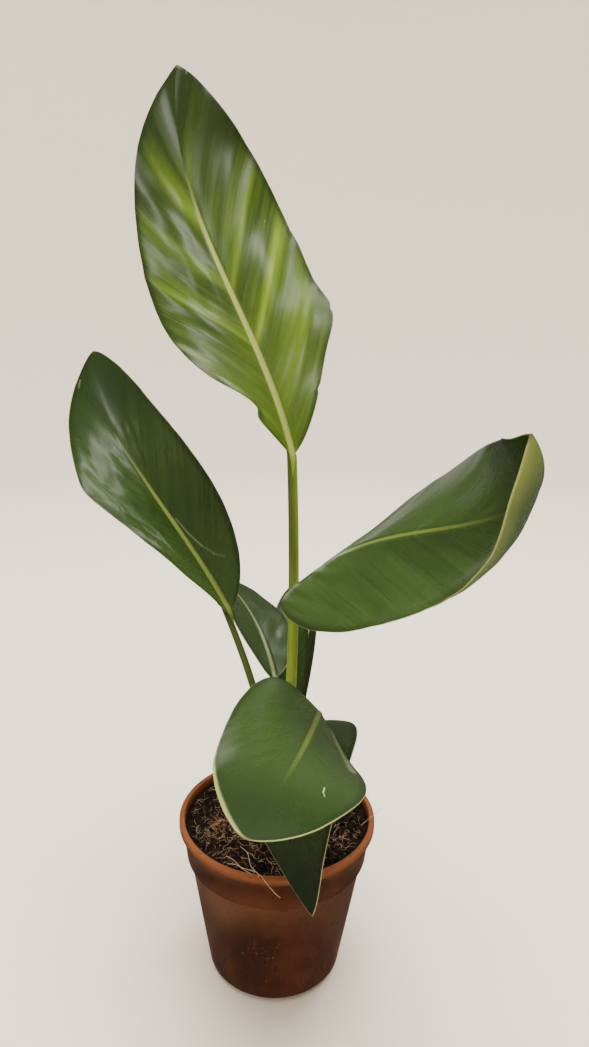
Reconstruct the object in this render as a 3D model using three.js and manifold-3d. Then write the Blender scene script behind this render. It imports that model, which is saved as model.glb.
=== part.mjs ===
// A young bird of paradise plant in a round plastic nursery pot.
// Millimetres, +Z up. The origin is the middle of the pot's underside, and the
// pot's axis is Z. The plant's front is towards -Y.

import * as THREE from 'three';
import { mergeVertices } from 'three/addons/utils/BufferGeometryUtils.js';
import Module from 'manifold-3d';

const wasm = await Module();
wasm.setup();

// ---------------------------------------------------------------- sizes

const GAP = 0.3; // clearance between pieces that touch
const WELD = 1e-4; // points closer than this are one point

const POT = {
  height: 90,
  lipRadius: 52.5,
  lipHeight: 4,
  lipEdge: 1.2,
  edge: 0.5,
  collarTopRadius: 50.8,
  collarBottomRadius: 48.6,
  collarHeight: 21,
  bodyTopRadius: 46.8,
  bodyBottomRadius: 36.4,
  wall: 1.3,
  floor: 1.6,
  footRadius: 33,
  footWidth: 5,
  footHeight: 3,
  padRadius: 12,
  channelHeight: 1.4,
  channelSlope: 1,
  drainHoles: 8,
  drainHoleRadius: 3,
  drainHoleSides: 12,
  drainCircleRadius: 20,
  drainNotchWidth: 6,
  drainCut: 20,
  sides: 48,
};

// Each lump is a wave over the surface: [turn along X, turn along Y, start,
// height], with the turns in radians per millimetre.
const SOIL = {
  edgeHeight: 85.5,
  moundHeight: 2,
  lumps: [[0.31, 0.27, 1.3, 0.35], [0.31, -0.27, 1.3, 0.35], [-0.41, 0.53, 0, 0.42]],
  ledgeSlope: 0.4,
  surfaceMark: 0.01,
  spokes: 48,
  rings: 8,
};

const CROWN = {
  centre: [-0.5, -1.5],
  halfLength: 14,
  halfWidth: 9,
  bottom: 60,
  top: 84,
  stalkFoot: 62,
  sheathStart: 0.02,
  holeTop: 100,
  sides: 20,
};

const STALK = {
  baseRadius: 4.2,
  neckRadius: 2.9,
  tipRadius: 2.4,
  sides: 10,
  steps: 12,
  sheathSteps: 8,
  searchSteps: 30,
};

const BLADE = {
  thickness: 0.8,
  ribHalfWidth: 2.5,
  ribTipHalfWidth: 0.9,
  besideRib: 0.5,
  keelDepth: 3.6,
  keelTipDepth: 0.3,
  keelFade: 0.6,
  keelShoulder: 0.45,
  leastCurl: 1e-6,
  spineSteps: 4,
  laneShares: [0.25, 0.5, 0.75, 1],
};

// Each leaf: where its blade starts, how that end is turned (compass angle,
// climb and roll), how fast the midrib arches, sways and twists at its base,
// middle and tip (degrees over the blade's length), and its two halves.
// In a half, rise and fall shape the outline towards the base and the tip,
// fold and curl turn the half up from the midrib, lobe draws its margin back
// at the base, and each bulge is [place, spread, width].
const LEAVES = [
  {
    name: 'tall_leaf',
    rows: 26,
    start: [3.5, 3.5, 284],
    turn: [123, 66, 27],
    length: 209.5,
    arch: [1, 2, 7],
    sway: [-68, 20, 92],
    twist: [7, 10, 7],
    left: {
      width: 38, rise: 0.67, fall: 0.92, fold: [45, 9, 10], curl: [23, -36, 9], lobe: -16,
      bulges: [[0.06, 0.03, 1.5], [0.11, 0.04, -8.5]], ripple: [0.5, 4],
    },
    right: {
      width: 42, rise: 0.64, fall: 0.67, fold: [40, 8, 13], curl: [11, -33, 8], lobe: -8,
      bulges: [[0.27, 0.06, 4.5], [0.22, 0.05, 2.5]], ripple: [0.6, 5],
    },
    stalk: { root: [-1, 3], low: [8, 7, 139], high: [7, -2, 216], neck: 112 },
    colour: 0x5f8732,
    stalkColour: 0x87962d,
  },
  {
    name: 'left_leaf',
    rows: 22,
    start: [-26.5, 0.5, 204],
    turn: [158, 60, 25],
    length: 159.5,
    arch: [29, 25, 20],
    sway: [-32, 25, 79],
    twist: [28, 48, 16],
    left: {
      width: 28.5, rise: 0.61, fall: 0.74, fold: [41, 19, -9], curl: [22, 5, -20], lobe: -2,
      bulges: [[0.53, 0.08, 3], [0.14, 0.06, 2]], ripple: [0.5, 4],
    },
    right: {
      width: 29.5, rise: 0.52, fall: 0.64, fold: [21, 26, 8], curl: [-9, 17, -2], lobe: -11.5,
      bulges: [[0.3, 0.1, -0.5]], ripple: [0.4, 4],
    },
    stalk: { root: [-4, 1], low: [0, 2, 118], high: [-9, -9, 161], neck: 110 },
    colour: 0x385420,
    stalkColour: 0x4b5f23,
  },
  {
    name: 'right_leaf',
    rows: 26,
    start: [12, -5, 224],
    turn: [-45, 53, -32],
    length: 176,
    arch: [150, -53.5, -292],
    sway: [39, 35.5, -39.5],
    twist: [-7, -20.5, -12],
    left: {
      width: 33.5, rise: 0.54, fall: 0.59, fold: [-26, 10, 71.5], curl: [-17, 7.5, 5.5], lobe: -1,
      bulges: [[0.74, 0.08, -1.3], [0.86, 0.06, -0.3], [0.95, 0.04, 1]], ripple: [0.4, 4],
    },
    right: {
      width: 46, rise: 0.36, fall: 0.69, fold: [39, -44, 35], curl: [-79, 74.5, 81], lobe: 14,
      bulges: [[0.6, 0.1, 2], [0.75, 0.08, 0.3]], ripple: [0.5, 6],
    },
    stalk: { root: [1, 0], low: [-1, -4, 126], high: [23, -3, 183], neck: 115 },
    colour: 0x466329,
    stalkColour: 0x2b301e,
  },
  {
    name: 'front_leaf',
    rows: 20,
    start: [20, -17.5, 159.5],
    turn: [-99, 13, 24],
    length: 127.5,
    arch: [15, 11, 8],
    sway: [1, 9, 13],
    twist: [-1, -7, 0],
    left: {
      width: 29.5, rise: 0.89, fall: 0.65, fold: [-13, 8, 16], curl: [-37, -3, -5], lobe: -2,
      bulges: [[0.5, 0.2, 1.5]], ripple: [0.3, 3],
    },
    right: {
      width: 37.5, rise: 0.28, fall: 0.6, fold: [15, 2, 9], curl: [2, -41, -17], lobe: 6.5,
      bulges: [], ripple: [0.3, 3],
    },
    stalk: { root: [0, -5], low: [5, -11, 105], high: [24, 9, 162], neck: 112 },
    colour: 0x50722a,
    stalkColour: 0x4b5f23,
  },
  {
    name: 'low_leaf',
    rows: 16,
    start: [10.5, -9.5, 148],
    turn: [-91, 7, 1],
    length: 96.5,
    arch: [116, 81, 66],
    sway: [14, -2, 11],
    twist: [-3, -46, 5],
    left: {
      width: 29.5, rise: 0.3, fall: 0.88, fold: [12, 27, 21], curl: [-26, -4, 11], lobe: 8,
      bulges: [], ripple: [0.3, 3],
    },
    right: {
      width: 24.5, rise: 0.58, fall: 0.91, fold: [40, -4, -11], curl: [-7, -8, -29], lobe: -2,
      bulges: [], ripple: [0.3, 3],
    },
    stalk: { root: [0, -9], low: [0, -11, 93], high: [4, -12, 126], neck: 108 },
    colour: 0x303c2c,
    stalkColour: 0x3c4a26,
  },
  {
    name: 'back_left_leaf',
    rows: 16,
    start: [-3, 11, 162.5],
    turn: [106, 39, -19],
    length: 102.5,
    arch: [54, 42, 27],
    sway: [-1, -6, -3],
    twist: [-9, -12, -3],
    left: {
      width: 20.5, rise: 0.48, fall: 0.6, fold: [27, 18, 16], curl: [-9, -13, -8], lobe: 1.5,
      bulges: [], ripple: [0.3, 3],
    },
    right: {
      width: 21, rise: 0.53, fall: 0.6, fold: [34, 15, 11], curl: [-1, -15, -18], lobe: -7,
      bulges: [], ripple: [0.3, 3],
    },
    stalk: { root: [-2, 5], low: [-2, 5, 97], high: [-2, 5, 133], neck: 116 },
    colour: 0x35482b,
    stalkColour: 0x4f6430,
  },
  {
    name: 'back_right_leaf',
    rows: 14,
    start: [6, 25, 146],
    turn: [96, 47, 4],
    length: 80.5,
    arch: [32, 29, 25],
    sway: [5, 15, 10],
    twist: [10, 10, 1],
    left: {
      width: 11, rise: 0.45, fall: 0.6, fold: [30, 20, 15], curl: [-10, -10, -10], lobe: 0,
      bulges: [], ripple: [0.2, 3],
    },
    right: {
      width: 13.5, rise: 0.4, fall: 0.69, fold: [25, 26, 15], curl: [-16, -2, -10], lobe: 4.5,
      bulges: [], ripple: [0.2, 3],
    },
    stalk: { root: [1, 6], low: [1, 6, 92], high: [7, 13, 122], neck: 106 },
    colour: 0x35482b,
    stalkColour: 0x3c4a26,
  },
];

const FINISH = {
  pot: { color: 0x9a5433, roughness: 0.55 },
  soil: { color: 0x241a14, roughness: 0.95 },
  crown: { color: 0x5a6b2c, roughness: 0.5 },
  stalkRoughness: 0.45,
  bladeRoughness: 0.4,
};

// ---------------------------------------------------------------- helpers

function paint({ color, roughness }) {
  return new THREE.MeshStandardMaterial({ color, roughness, metalness: 0 });
}

function named(name, geometry, material) {
  const mesh = new THREE.Mesh(geometry, material);
  mesh.name = name;
  return mesh;
}

function toSolid(geometry) {
  const bare = geometry.index ? geometry.toNonIndexed() : geometry.clone();
  bare.deleteAttribute('normal');
  bare.deleteAttribute('uv');
  const merged = mergeVertices(bare, WELD);
  const vertProperties = new Float32Array(merged.attributes.position.array);
  const triVerts = new Uint32Array(merged.index.array);
  return new wasm.Manifold(new wasm.Mesh({ numProp: 3, vertProperties, triVerts }));
}

function toGeometry(solid) {
  const mesh = solid.getMesh();
  const geometry = new THREE.BufferGeometry();
  geometry.setAttribute('position', new THREE.BufferAttribute(mesh.vertProperties, 3));
  geometry.setIndex(new THREE.BufferAttribute(mesh.triVerts, 1));
  geometry.computeVertexNormals();
  return geometry;
}

function geometryOf(points, faces) {
  const geometry = new THREE.BufferGeometry();
  const flat = points.flatMap((p) => [p.x, p.y, p.z]);
  geometry.setAttribute('position', new THREE.Float32BufferAttribute(flat, 3));
  geometry.setIndex(faces.flat());
  geometry.computeVertexNormals();
  return geometry;
}

// A lathe about Z, from a profile of [radius, height] pairs.
function turned(profile, sides) {
  const points = profile.map(([r, z]) => new THREE.Vector2(r, z));
  return new THREE.LatheGeometry(points, sides).rotateX(Math.PI / 2);
}

function rod(radius, length, sides) {
  return new THREE.CylinderGeometry(radius, radius, length, sides).rotateX(Math.PI / 2);
}

// A value given at the base, middle and tip of a blade.
function along(stations, t) {
  const [base, middle, tip] = stations;
  return base * (1 - t) * (1 - 2 * t) + 4 * middle * t * (1 - t) + tip * t * (2 * t - 1);
}

// ---------------------------------------------------------------- pot and soil

function wallRadius(z) {
  const climb = (z - POT.footHeight) / (POT.height - POT.collarHeight - POT.footHeight);
  return POT.bodyBottomRadius + climb * (POT.bodyTopRadius - POT.bodyBottomRadius);
}

function collarRadius(z) {
  const climb = (z - POT.height + POT.collarHeight) / POT.collarHeight;
  return POT.collarBottomRadius + climb * (POT.collarTopRadius - POT.collarBottomRadius);
}

function potProfile() {
  const { height, wall, floor, footRadius, footHeight, channelHeight, lipHeight, lipEdge, edge } = POT;
  const collarFoot = height - POT.collarHeight;
  const footInner = footRadius - POT.footWidth;
  const lipFoot = height - lipHeight;
  const shoulder = collarFoot + wall;
  const top = footHeight + floor;
  return [
    [0, 0],
    [POT.padRadius, 0],
    [POT.padRadius + POT.channelSlope, channelHeight],
    [footInner - POT.channelSlope, channelHeight],
    [footInner, 0],
    [footRadius, 0],
    [footRadius, footHeight],
    [POT.bodyBottomRadius, footHeight],
    [POT.bodyTopRadius, collarFoot],
    [POT.collarBottomRadius - edge, collarFoot],
    [POT.collarBottomRadius, collarFoot + edge],
    [collarRadius(lipFoot), lipFoot],
    [POT.lipRadius - edge, lipFoot],
    [POT.lipRadius, lipFoot + edge],
    [POT.lipRadius, height - lipEdge],
    [POT.lipRadius - lipEdge, height],
    [collarRadius(height) - wall + edge, height],
    [collarRadius(height) - wall, height - edge],
    [collarRadius(shoulder) - wall, shoulder],
    [wallRadius(shoulder) - wall, shoulder - edge],
    [wallRadius(top) - wall, top],
    [footRadius - wall, top],
    [footInner, channelHeight + floor],
    [0, channelHeight + floor],
  ];
}

function makePot() {
  let pot = toSolid(turned(potProfile(), POT.sides));
  for (let i = 0; i < POT.drainHoles; i += 1) {
    const angle = ((i + 0.5) / POT.drainHoles) * 2 * Math.PI;
    const hole = rod(POT.drainHoleRadius, POT.drainCut, POT.drainHoleSides);
    hole.translate(POT.drainCircleRadius, 0, 0);
    hole.rotateZ(angle);
    pot = pot.subtract(toSolid(hole));
    const notch = new THREE.BoxGeometry(POT.drainCut, POT.drainNotchWidth, 2 * POT.channelHeight);
    notch.translate(POT.footRadius - POT.footWidth / 2, 0, 0);
    notch.rotateZ(angle);
    pot = pot.subtract(toSolid(notch));
  }
  return named('pot', toGeometry(pot), paint(FINISH.pot));
}

function soilHeight(x, y) {
  const share = Math.hypot(x, y) / POT.lipRadius;
  const mound = SOIL.moundHeight * (1 - share * share);
  let height = SOIL.edgeHeight + mound;
  for (const [turnX, turnY, start, rise] of SOIL.lumps) {
    height += rise * Math.sin(turnX * x + turnY * y + start);
  }
  return height;
}

function makeSoil() {
  const inside = (z) => collarRadius(z) - POT.wall - GAP;
  const floor = POT.channelHeight + POT.floor + GAP;
  const ledge = POT.footHeight + POT.floor + GAP;
  const shoulder = POT.height - POT.collarHeight + POT.wall + GAP;
  const body = turned(
    [
      [0, floor],
      [POT.footRadius - POT.footWidth - GAP, floor],
      [POT.footRadius - POT.wall - 2 * GAP, ledge],
      [wallRadius(ledge) - POT.wall - GAP, ledge],
      [wallRadius(shoulder) - POT.wall - 2 * GAP, shoulder],
      [inside(shoulder), shoulder + SOIL.ledgeSlope],
      [inside(SOIL.edgeHeight), SOIL.edgeHeight],
      ...soilRings(inside(SOIL.edgeHeight)),
    ],
    SOIL.spokes,
  );
  const place = body.attributes.position;
  for (let i = 0; i < place.count; i += 1) {
    if (place.getZ(i) > SOIL.edgeHeight - SOIL.surfaceMark) {
      place.setZ(i, soilHeight(place.getX(i), place.getY(i)));
    }
  }
  const hole = crownOutline(GAP, CROWN.bottom - GAP, CROWN.holeTop);
  const soil = toSolid(body).subtract(toSolid(hole));
  return named('soil', toGeometry(soil), paint(FINISH.soil));
}

function soilRings(edge) {
  const rings = [];
  for (let i = SOIL.rings - 1; i > 0; i -= 1) {
    rings.push([(edge * i) / SOIL.rings, SOIL.edgeHeight]);
  }
  rings.push([0, SOIL.edgeHeight]);
  return rings;
}

// The oval root crown, widened by a margin, between two heights.
function crownOutline(margin, bottom, top) {
  const outline = new THREE.CylinderGeometry(1, 1, top - bottom, CROWN.sides);
  outline.rotateX(Math.PI / 2);
  outline.scale(CROWN.halfWidth + margin, CROWN.halfLength + margin, 1);
  outline.translate(CROWN.centre[0], CROWN.centre[1], (top + bottom) / 2);
  return outline;
}

// ---------------------------------------------------------------- blades

// The midrib's points and its three directions (forward, right and up).
function spineOf(leaf) {
  const [compass, climb, roll] = leaf.turn.map(THREE.MathUtils.degToRad);
  const level = Math.cos(climb);
  const forward = new THREE.Vector3(level * Math.cos(compass), level * Math.sin(compass), Math.sin(climb));
  const right = new THREE.Vector3(Math.sin(compass), -Math.cos(compass), 0);
  right.applyAxisAngle(forward, -roll);
  const place = new THREE.Vector3(...leaf.start);
  const stations = [];
  let before = 0;
  for (let row = 0; row <= leaf.rows; row += 1) {
    const t = (1 - Math.cos((Math.PI * row) / leaf.rows)) / 2;
    const step = (t - before) / BLADE.spineSteps;
    for (let i = 0; i < BLADE.spineSteps; i += 1) {
      bend(leaf, before + (i + 0.5) * step, step, forward, right, place);
    }
    const up = new THREE.Vector3().crossVectors(right, forward);
    stations.push({ t, place: place.clone(), forward: forward.clone(), right: right.clone(), up });
    before = t;
  }
  return stations;
}

function bend(leaf, t, step, forward, right, place) {
  const turnBy = (stations) => THREE.MathUtils.degToRad(along(stations, t)) * step;
  const up = new THREE.Vector3().crossVectors(right, forward);
  const old = forward.clone();
  forward.applyAxisAngle(right, -turnBy(leaf.arch));
  forward.applyAxisAngle(up, -turnBy(leaf.sway));
  right.applyAxisAngle(up, -turnBy(leaf.sway));
  right.applyAxisAngle(forward, -turnBy(leaf.twist));
  right.addScaledVector(forward, -right.dot(forward)).normalize();
  place.addScaledVector(old.add(forward).normalize(), leaf.length * step);
}

function halfWidth(half, t) {
  const widest = half.rise / (half.rise + half.fall);
  const shape = (x) => x ** half.rise * (1 - x) ** half.fall;
  let width = (half.width * shape(t)) / shape(widest);
  for (const [place, spread, bulge] of half.bulges) {
    width += bulge * Math.exp(-(((t - place) / spread) ** 2));
  }
  return Math.max(0, width);
}

function ribHalfWidth(t) {
  return THREE.MathUtils.lerp(BLADE.ribHalfWidth, BLADE.ribTipHalfWidth, t);
}

// A point of a half, at a distance from the midrib along the curved surface.
function surfacePoint(station, half, side, width, distance) {
  const { t, place, forward, right, up } = station;
  const fold = THREE.MathUtils.degToRad(along(half.fold, t));
  const rate = THREE.MathUtils.degToRad(along(half.curl, t)) / half.width || BLADE.leastCurl;
  const lift = fold + rate * distance;
  const outward = (Math.sin(lift) - Math.sin(fold)) / rate;
  const upward = (Math.cos(fold) - Math.cos(lift)) / rate;
  const share = distance / width;
  const [depth, waves] = half.ripple;
  const ripple = depth * Math.sin(2 * Math.PI * waves * t) * share * share;
  const drawn = half.lobe * (1 - t) ** 2 * (distance / half.width);
  return place
    .clone()
    .addScaledVector(right, side * outward)
    .addScaledVector(up, upward + ripple)
    .addScaledVector(forward, -drawn);
}

// The lanes of one row, from the left margin over the midrib to the right one.
function rowOf(leaf, station) {
  const lanes = [{ point: station.place.clone(), depth: 1 }];
  for (const side of [-1, 1]) {
    const half = side < 0 ? leaf.left : leaf.right;
    const rib = ribHalfWidth(station.t);
    const width = Math.max(halfWidth(half, station.t), rib + BLADE.besideRib);
    const distances = [rib, ...BLADE.laneShares.map((share) => rib + share * (width - rib))];
    const points = distances.map((d, i) => ({
      point: surfacePoint(station, half, side, width, d),
      depth: i === 0 ? BLADE.keelShoulder : 0,
    }));
    if (side < 0) {
      lanes.unshift(...points.reverse());
    } else {
      lanes.push(...points);
    }
  }
  return lanes;
}

function gridNormal(grid, row, lane) {
  const last = grid.length - 1;
  const end = grid[0].length - 1;
  const ahead = grid[Math.min(row + 1, last)][lane].point;
  const behind = grid[Math.max(row - 1, 0)][lane].point;
  const rightward = grid[row][Math.min(lane + 1, end)].point;
  const leftward = grid[row][Math.max(lane - 1, 0)].point;
  const length = new THREE.Vector3().subVectors(ahead, behind);
  const width = new THREE.Vector3().subVectors(rightward, leftward);
  return new THREE.Vector3().crossVectors(width, length).normalize();
}

// A closed sheet: the same triangles above and below, joined round the margin.
// A clearance makes it thicker all over and longer at its base.
function bladeGeometry(leaf, clearance) {
  const stations = spineOf(leaf);
  const grid = stations.map((station) => rowOf(leaf, station));
  const lanes = grid[0].length;
  const upper = [];
  const lower = [];
  grid.forEach((row, r) => {
    const keel = THREE.MathUtils.lerp(BLADE.keelDepth, BLADE.keelTipDepth, stations[r].t ** BLADE.keelFade);
    row.forEach(({ point, depth }, lane) => {
      const normal = gridNormal(grid, r, lane);
      const half = BLADE.thickness / 2 + clearance;
      const base = point.clone().addScaledVector(stations[r].forward, r === 0 ? -clearance : 0);
      upper.push(base.clone().addScaledVector(normal, half));
      lower.push(base.clone().addScaledVector(normal, -half - keel * depth));
    });
  });
  const points = [...upper, ...lower];
  const under = upper.length;
  const faces = [];
  for (let r = 0; r < grid.length - 1; r += 1) {
    for (let lane = 0; lane < lanes - 1; lane += 1) {
      const a = r * lanes + lane;
      faces.push([a, a + 1, a + lanes + 1], [a, a + lanes + 1, a + lanes]);
      faces.push([under + a, under + a + lanes + 1, under + a + 1]);
      faces.push([under + a, under + a + lanes, under + a + lanes + 1]);
    }
  }
  const rim = rimOf(grid.length, lanes);
  rim.forEach((a, i) => {
    const b = rim[(i + 1) % rim.length];
    faces.push([a, under + a, under + b], [a, under + b, b]);
  });
  return geometryOf(points, faces);
}

// The margin's vertices, counter-clockwise seen from above.
function rimOf(rows, lanes) {
  const vertex = (row, lane) => row * lanes + lane;
  const lastRow = rows - 1;
  const lastLane = lanes - 1;
  const count = (n) => [...Array(n).keys()];
  return [
    ...count(lastLane).map((i) => vertex(0, i)),
    ...count(lastRow).map((i) => vertex(i, lastLane)),
    ...count(lastLane).map((i) => vertex(lastRow, lastLane - i)),
    ...count(lastRow).map((i) => vertex(lastRow - i, 0)),
  ];
}

// ---------------------------------------------------------------- stalks and crown

// The stalk's curve, from the crown to just under the start of its blade.
function stalkCurve(leaf) {
  const first = spineOf(leaf)[0];
  const sink = BLADE.thickness / 2 + STALK.tipRadius;
  const end = first.place.clone().addScaledVector(first.up, -sink);
  const root = new THREE.Vector3(...leaf.stalk.root, CROWN.stalkFoot);
  const low = new THREE.Vector3(...leaf.stalk.low);
  const high = new THREE.Vector3(...leaf.stalk.high);
  return new THREE.CubicBezierCurve3(root, low, high, end);
}

// Where the curve, which only climbs, passes a height.
function shareAtHeight(curve, height) {
  let low = 0;
  let high = 1;
  for (let i = 0; i < STALK.searchSteps; i += 1) {
    const middle = (low + high) / 2;
    if (curve.getPoint(middle).z < height) {
      low = middle;
    } else {
      high = middle;
    }
  }
  return low;
}

function stalkRadius(share, neckShare) {
  if (share < neckShare) {
    return THREE.MathUtils.lerp(STALK.baseRadius, STALK.neckRadius, share / neckShare);
  }
  return THREE.MathUtils.lerp(STALK.neckRadius, STALK.tipRadius, (share - neckShare) / (1 - neckShare));
}

// A round tube along part of a curve, closed by flat ends.
function tubeAlong(curve, from, to, steps, radiusAt) {
  const points = [];
  const faces = [];
  const sides = STALK.sides;
  for (let i = 0; i <= steps; i += 1) {
    const share = from + ((to - from) * i) / steps;
    const centre = curve.getPoint(share);
    const ahead = curve.getTangent(share);
    const across = new THREE.Vector3(0, 1, 0).cross(ahead).normalize();
    const upward = new THREE.Vector3().crossVectors(ahead, across);
    for (let k = 0; k < sides; k += 1) {
      const angle = (2 * Math.PI * k) / sides;
      const reach = across.clone().multiplyScalar(Math.cos(angle)).addScaledVector(upward, Math.sin(angle));
      points.push(centre.clone().addScaledVector(reach, radiusAt(share)));
    }
  }
  for (let i = 0; i < steps; i += 1) {
    for (let k = 0; k < sides; k += 1) {
      const a = i * sides + k;
      const b = i * sides + ((k + 1) % sides);
      faces.push([a, b, b + sides], [a, b + sides, a + sides]);
    }
  }
  const top = steps * sides;
  for (let k = 1; k < sides - 1; k += 1) {
    faces.push([0, k + 1, k], [top, top + k, top + k + 1]);
  }
  return geometryOf(points, faces);
}

function makeStalk(leaf) {
  const curve = stalkCurve(leaf);
  const neck = shareAtHeight(curve, leaf.stalk.neck);
  const start = shareAtHeight(curve, leaf.stalk.neck + GAP);
  const tube = tubeAlong(curve, start, 1, STALK.steps, (share) => stalkRadius(share, neck));
  const stalk = toSolid(tube).subtract(toSolid(bladeGeometry(leaf, GAP)));
  const finish = paint({ color: leaf.stalkColour, roughness: FINISH.stalkRoughness });
  return named(`${leaf.name}_stalk`, toGeometry(stalk), finish);
}

function makeBlade(leaf) {
  const finish = paint({ color: leaf.colour, roughness: FINISH.bladeRoughness });
  return named(`${leaf.name}_blade`, bladeGeometry(leaf, 0), finish);
}

// The root crown with the sheaths of the leaves, grown together.
function makeCrown() {
  let crown = toSolid(crownOutline(0, CROWN.bottom, CROWN.top));
  for (const leaf of LEAVES) {
    const curve = stalkCurve(leaf);
    const neck = shareAtHeight(curve, leaf.stalk.neck);
    const radiusAt = (share) => stalkRadius(share, neck);
    const sheath = tubeAlong(curve, CROWN.sheathStart, neck, STALK.sheathSteps, radiusAt);
    crown = crown.add(toSolid(sheath));
  }
  return named('crown', toGeometry(crown), paint(FINISH.crown));
}

// ---------------------------------------------------------------- the plant

const plant = new THREE.Group();
plant.add(makePot(), makeSoil(), makeCrown());
for (const leaf of LEAVES) {
  plant.add(makeStalk(leaf), makeBlade(leaf));
}

export default plant;
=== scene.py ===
"""A young bird of paradise plant in a round plastic nursery pot: its fine forms and finishes.

The plant stands on the floor at the origin, +Z up, with its front towards -Y.
"""

import math
import random
from dataclasses import dataclass

import bpy
import bmesh
import numpy as np
from mathutils import Matrix, Vector, noise


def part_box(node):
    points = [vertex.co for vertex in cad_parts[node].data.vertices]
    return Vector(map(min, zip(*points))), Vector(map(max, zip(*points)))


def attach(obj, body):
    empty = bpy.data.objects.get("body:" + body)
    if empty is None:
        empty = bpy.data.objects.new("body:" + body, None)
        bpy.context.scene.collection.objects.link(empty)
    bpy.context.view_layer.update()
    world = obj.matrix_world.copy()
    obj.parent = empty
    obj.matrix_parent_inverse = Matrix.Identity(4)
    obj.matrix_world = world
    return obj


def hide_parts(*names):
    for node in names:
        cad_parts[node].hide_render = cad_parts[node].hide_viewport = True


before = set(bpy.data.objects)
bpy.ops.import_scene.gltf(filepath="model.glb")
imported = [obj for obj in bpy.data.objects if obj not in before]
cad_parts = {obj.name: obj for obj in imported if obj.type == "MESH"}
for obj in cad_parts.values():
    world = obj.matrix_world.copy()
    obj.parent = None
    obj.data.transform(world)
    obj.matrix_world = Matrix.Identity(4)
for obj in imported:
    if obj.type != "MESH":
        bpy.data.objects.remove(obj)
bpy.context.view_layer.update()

bl_info = {
    "name": "Potted Bird of Paradise",
    "version": (1, 0, 0),
    "blender": (4, 5, 0),
    "location": "3D View > Sidebar > Plant",
    "description": "Builds a young bird of paradise plant in a nursery pot, on a studio floor",
    "category": "Add Mesh",
}

MM = 0.001
BODY = "root"
POT_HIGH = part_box("pot")[1]
SOIL_LOW, SOIL_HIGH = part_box("soil")

# ---------------------------------------------------------------- the leaves


@dataclass(frozen=True)
class Half:
    """One half of a blade, from its midrib to its margin."""

    width: float  # at its widest
    rise: float  # how the outline widens from the base
    fall: float  # how it narrows to the tip
    fold: tuple  # how steeply the half rises from the midrib, at the base, middle and tip
    curl: tuple  # how far it bends up from there to its margin
    lobe: float  # how far its margin is drawn back at the base
    bulges: tuple = ()  # (share, spread, width) of each swelling of the outline
    ripple: tuple = (0.3, 3)  # height of the margin's waves and their number


@dataclass(frozen=True)
class Stalk:
    """The stalk of a leaf, a curve from the crown to the blade."""

    root: tuple  # where it stands on the crown, across and back
    low: tuple  # the lower point that draws the curve
    high: tuple  # the upper one
    neck: float  # height of the top of its sheath
    finish: str  # its kind of tissue; the shaded kind is painted shade


@dataclass(frozen=True)
class Leaf:
    """A leaf, in millimetres and degrees; a share is a place along the midrib, from 0 to 1."""

    name: str
    start: tuple  # where the blade starts
    turn: tuple  # compass angle, climb and roll of the midrib there
    length: float  # of the midrib
    arch: tuple  # how fast the midrib arches down, at its base, middle and tip
    sway: tuple  # how fast it turns to its right
    twist: tuple  # how fast its right side turns up
    left: Half
    right: Half
    stalk: Stalk
    girth: float  # how thick the stalk is, against the settings
    throat: float  # how far the blade closes down the front of its stalk
    soft: float  # how widely the fold at the midrib is rounded, at the tip
    pleats: float  # how far the surface waves across its veins
    finish: str  # the blade's kind of tissue; the shaded kind is painted shade
    mottle: float  # how mottled it is
    rib: tuple  # the pale midrib: half widths at base and tip, paleness, taper
    rib_fade: tuple  # the shares between which it fades
    margin: tuple  # the pale margin: (width at base, at tip) left and right, paleness
    relax: int = 0  # how often the blade is smoothed lengthwise
    wrinkles: tuple = ()  # (share, across, reach along, reach across, height, size, stretch)
    marks: tuple = ()  # pale scratches and painted fold highlights: (along, across, along, across, width, paleness)
    streaks: tuple = ()  # bright veins, painted light that shines through the thin blade: (side, share where they start, width, strength)
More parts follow.
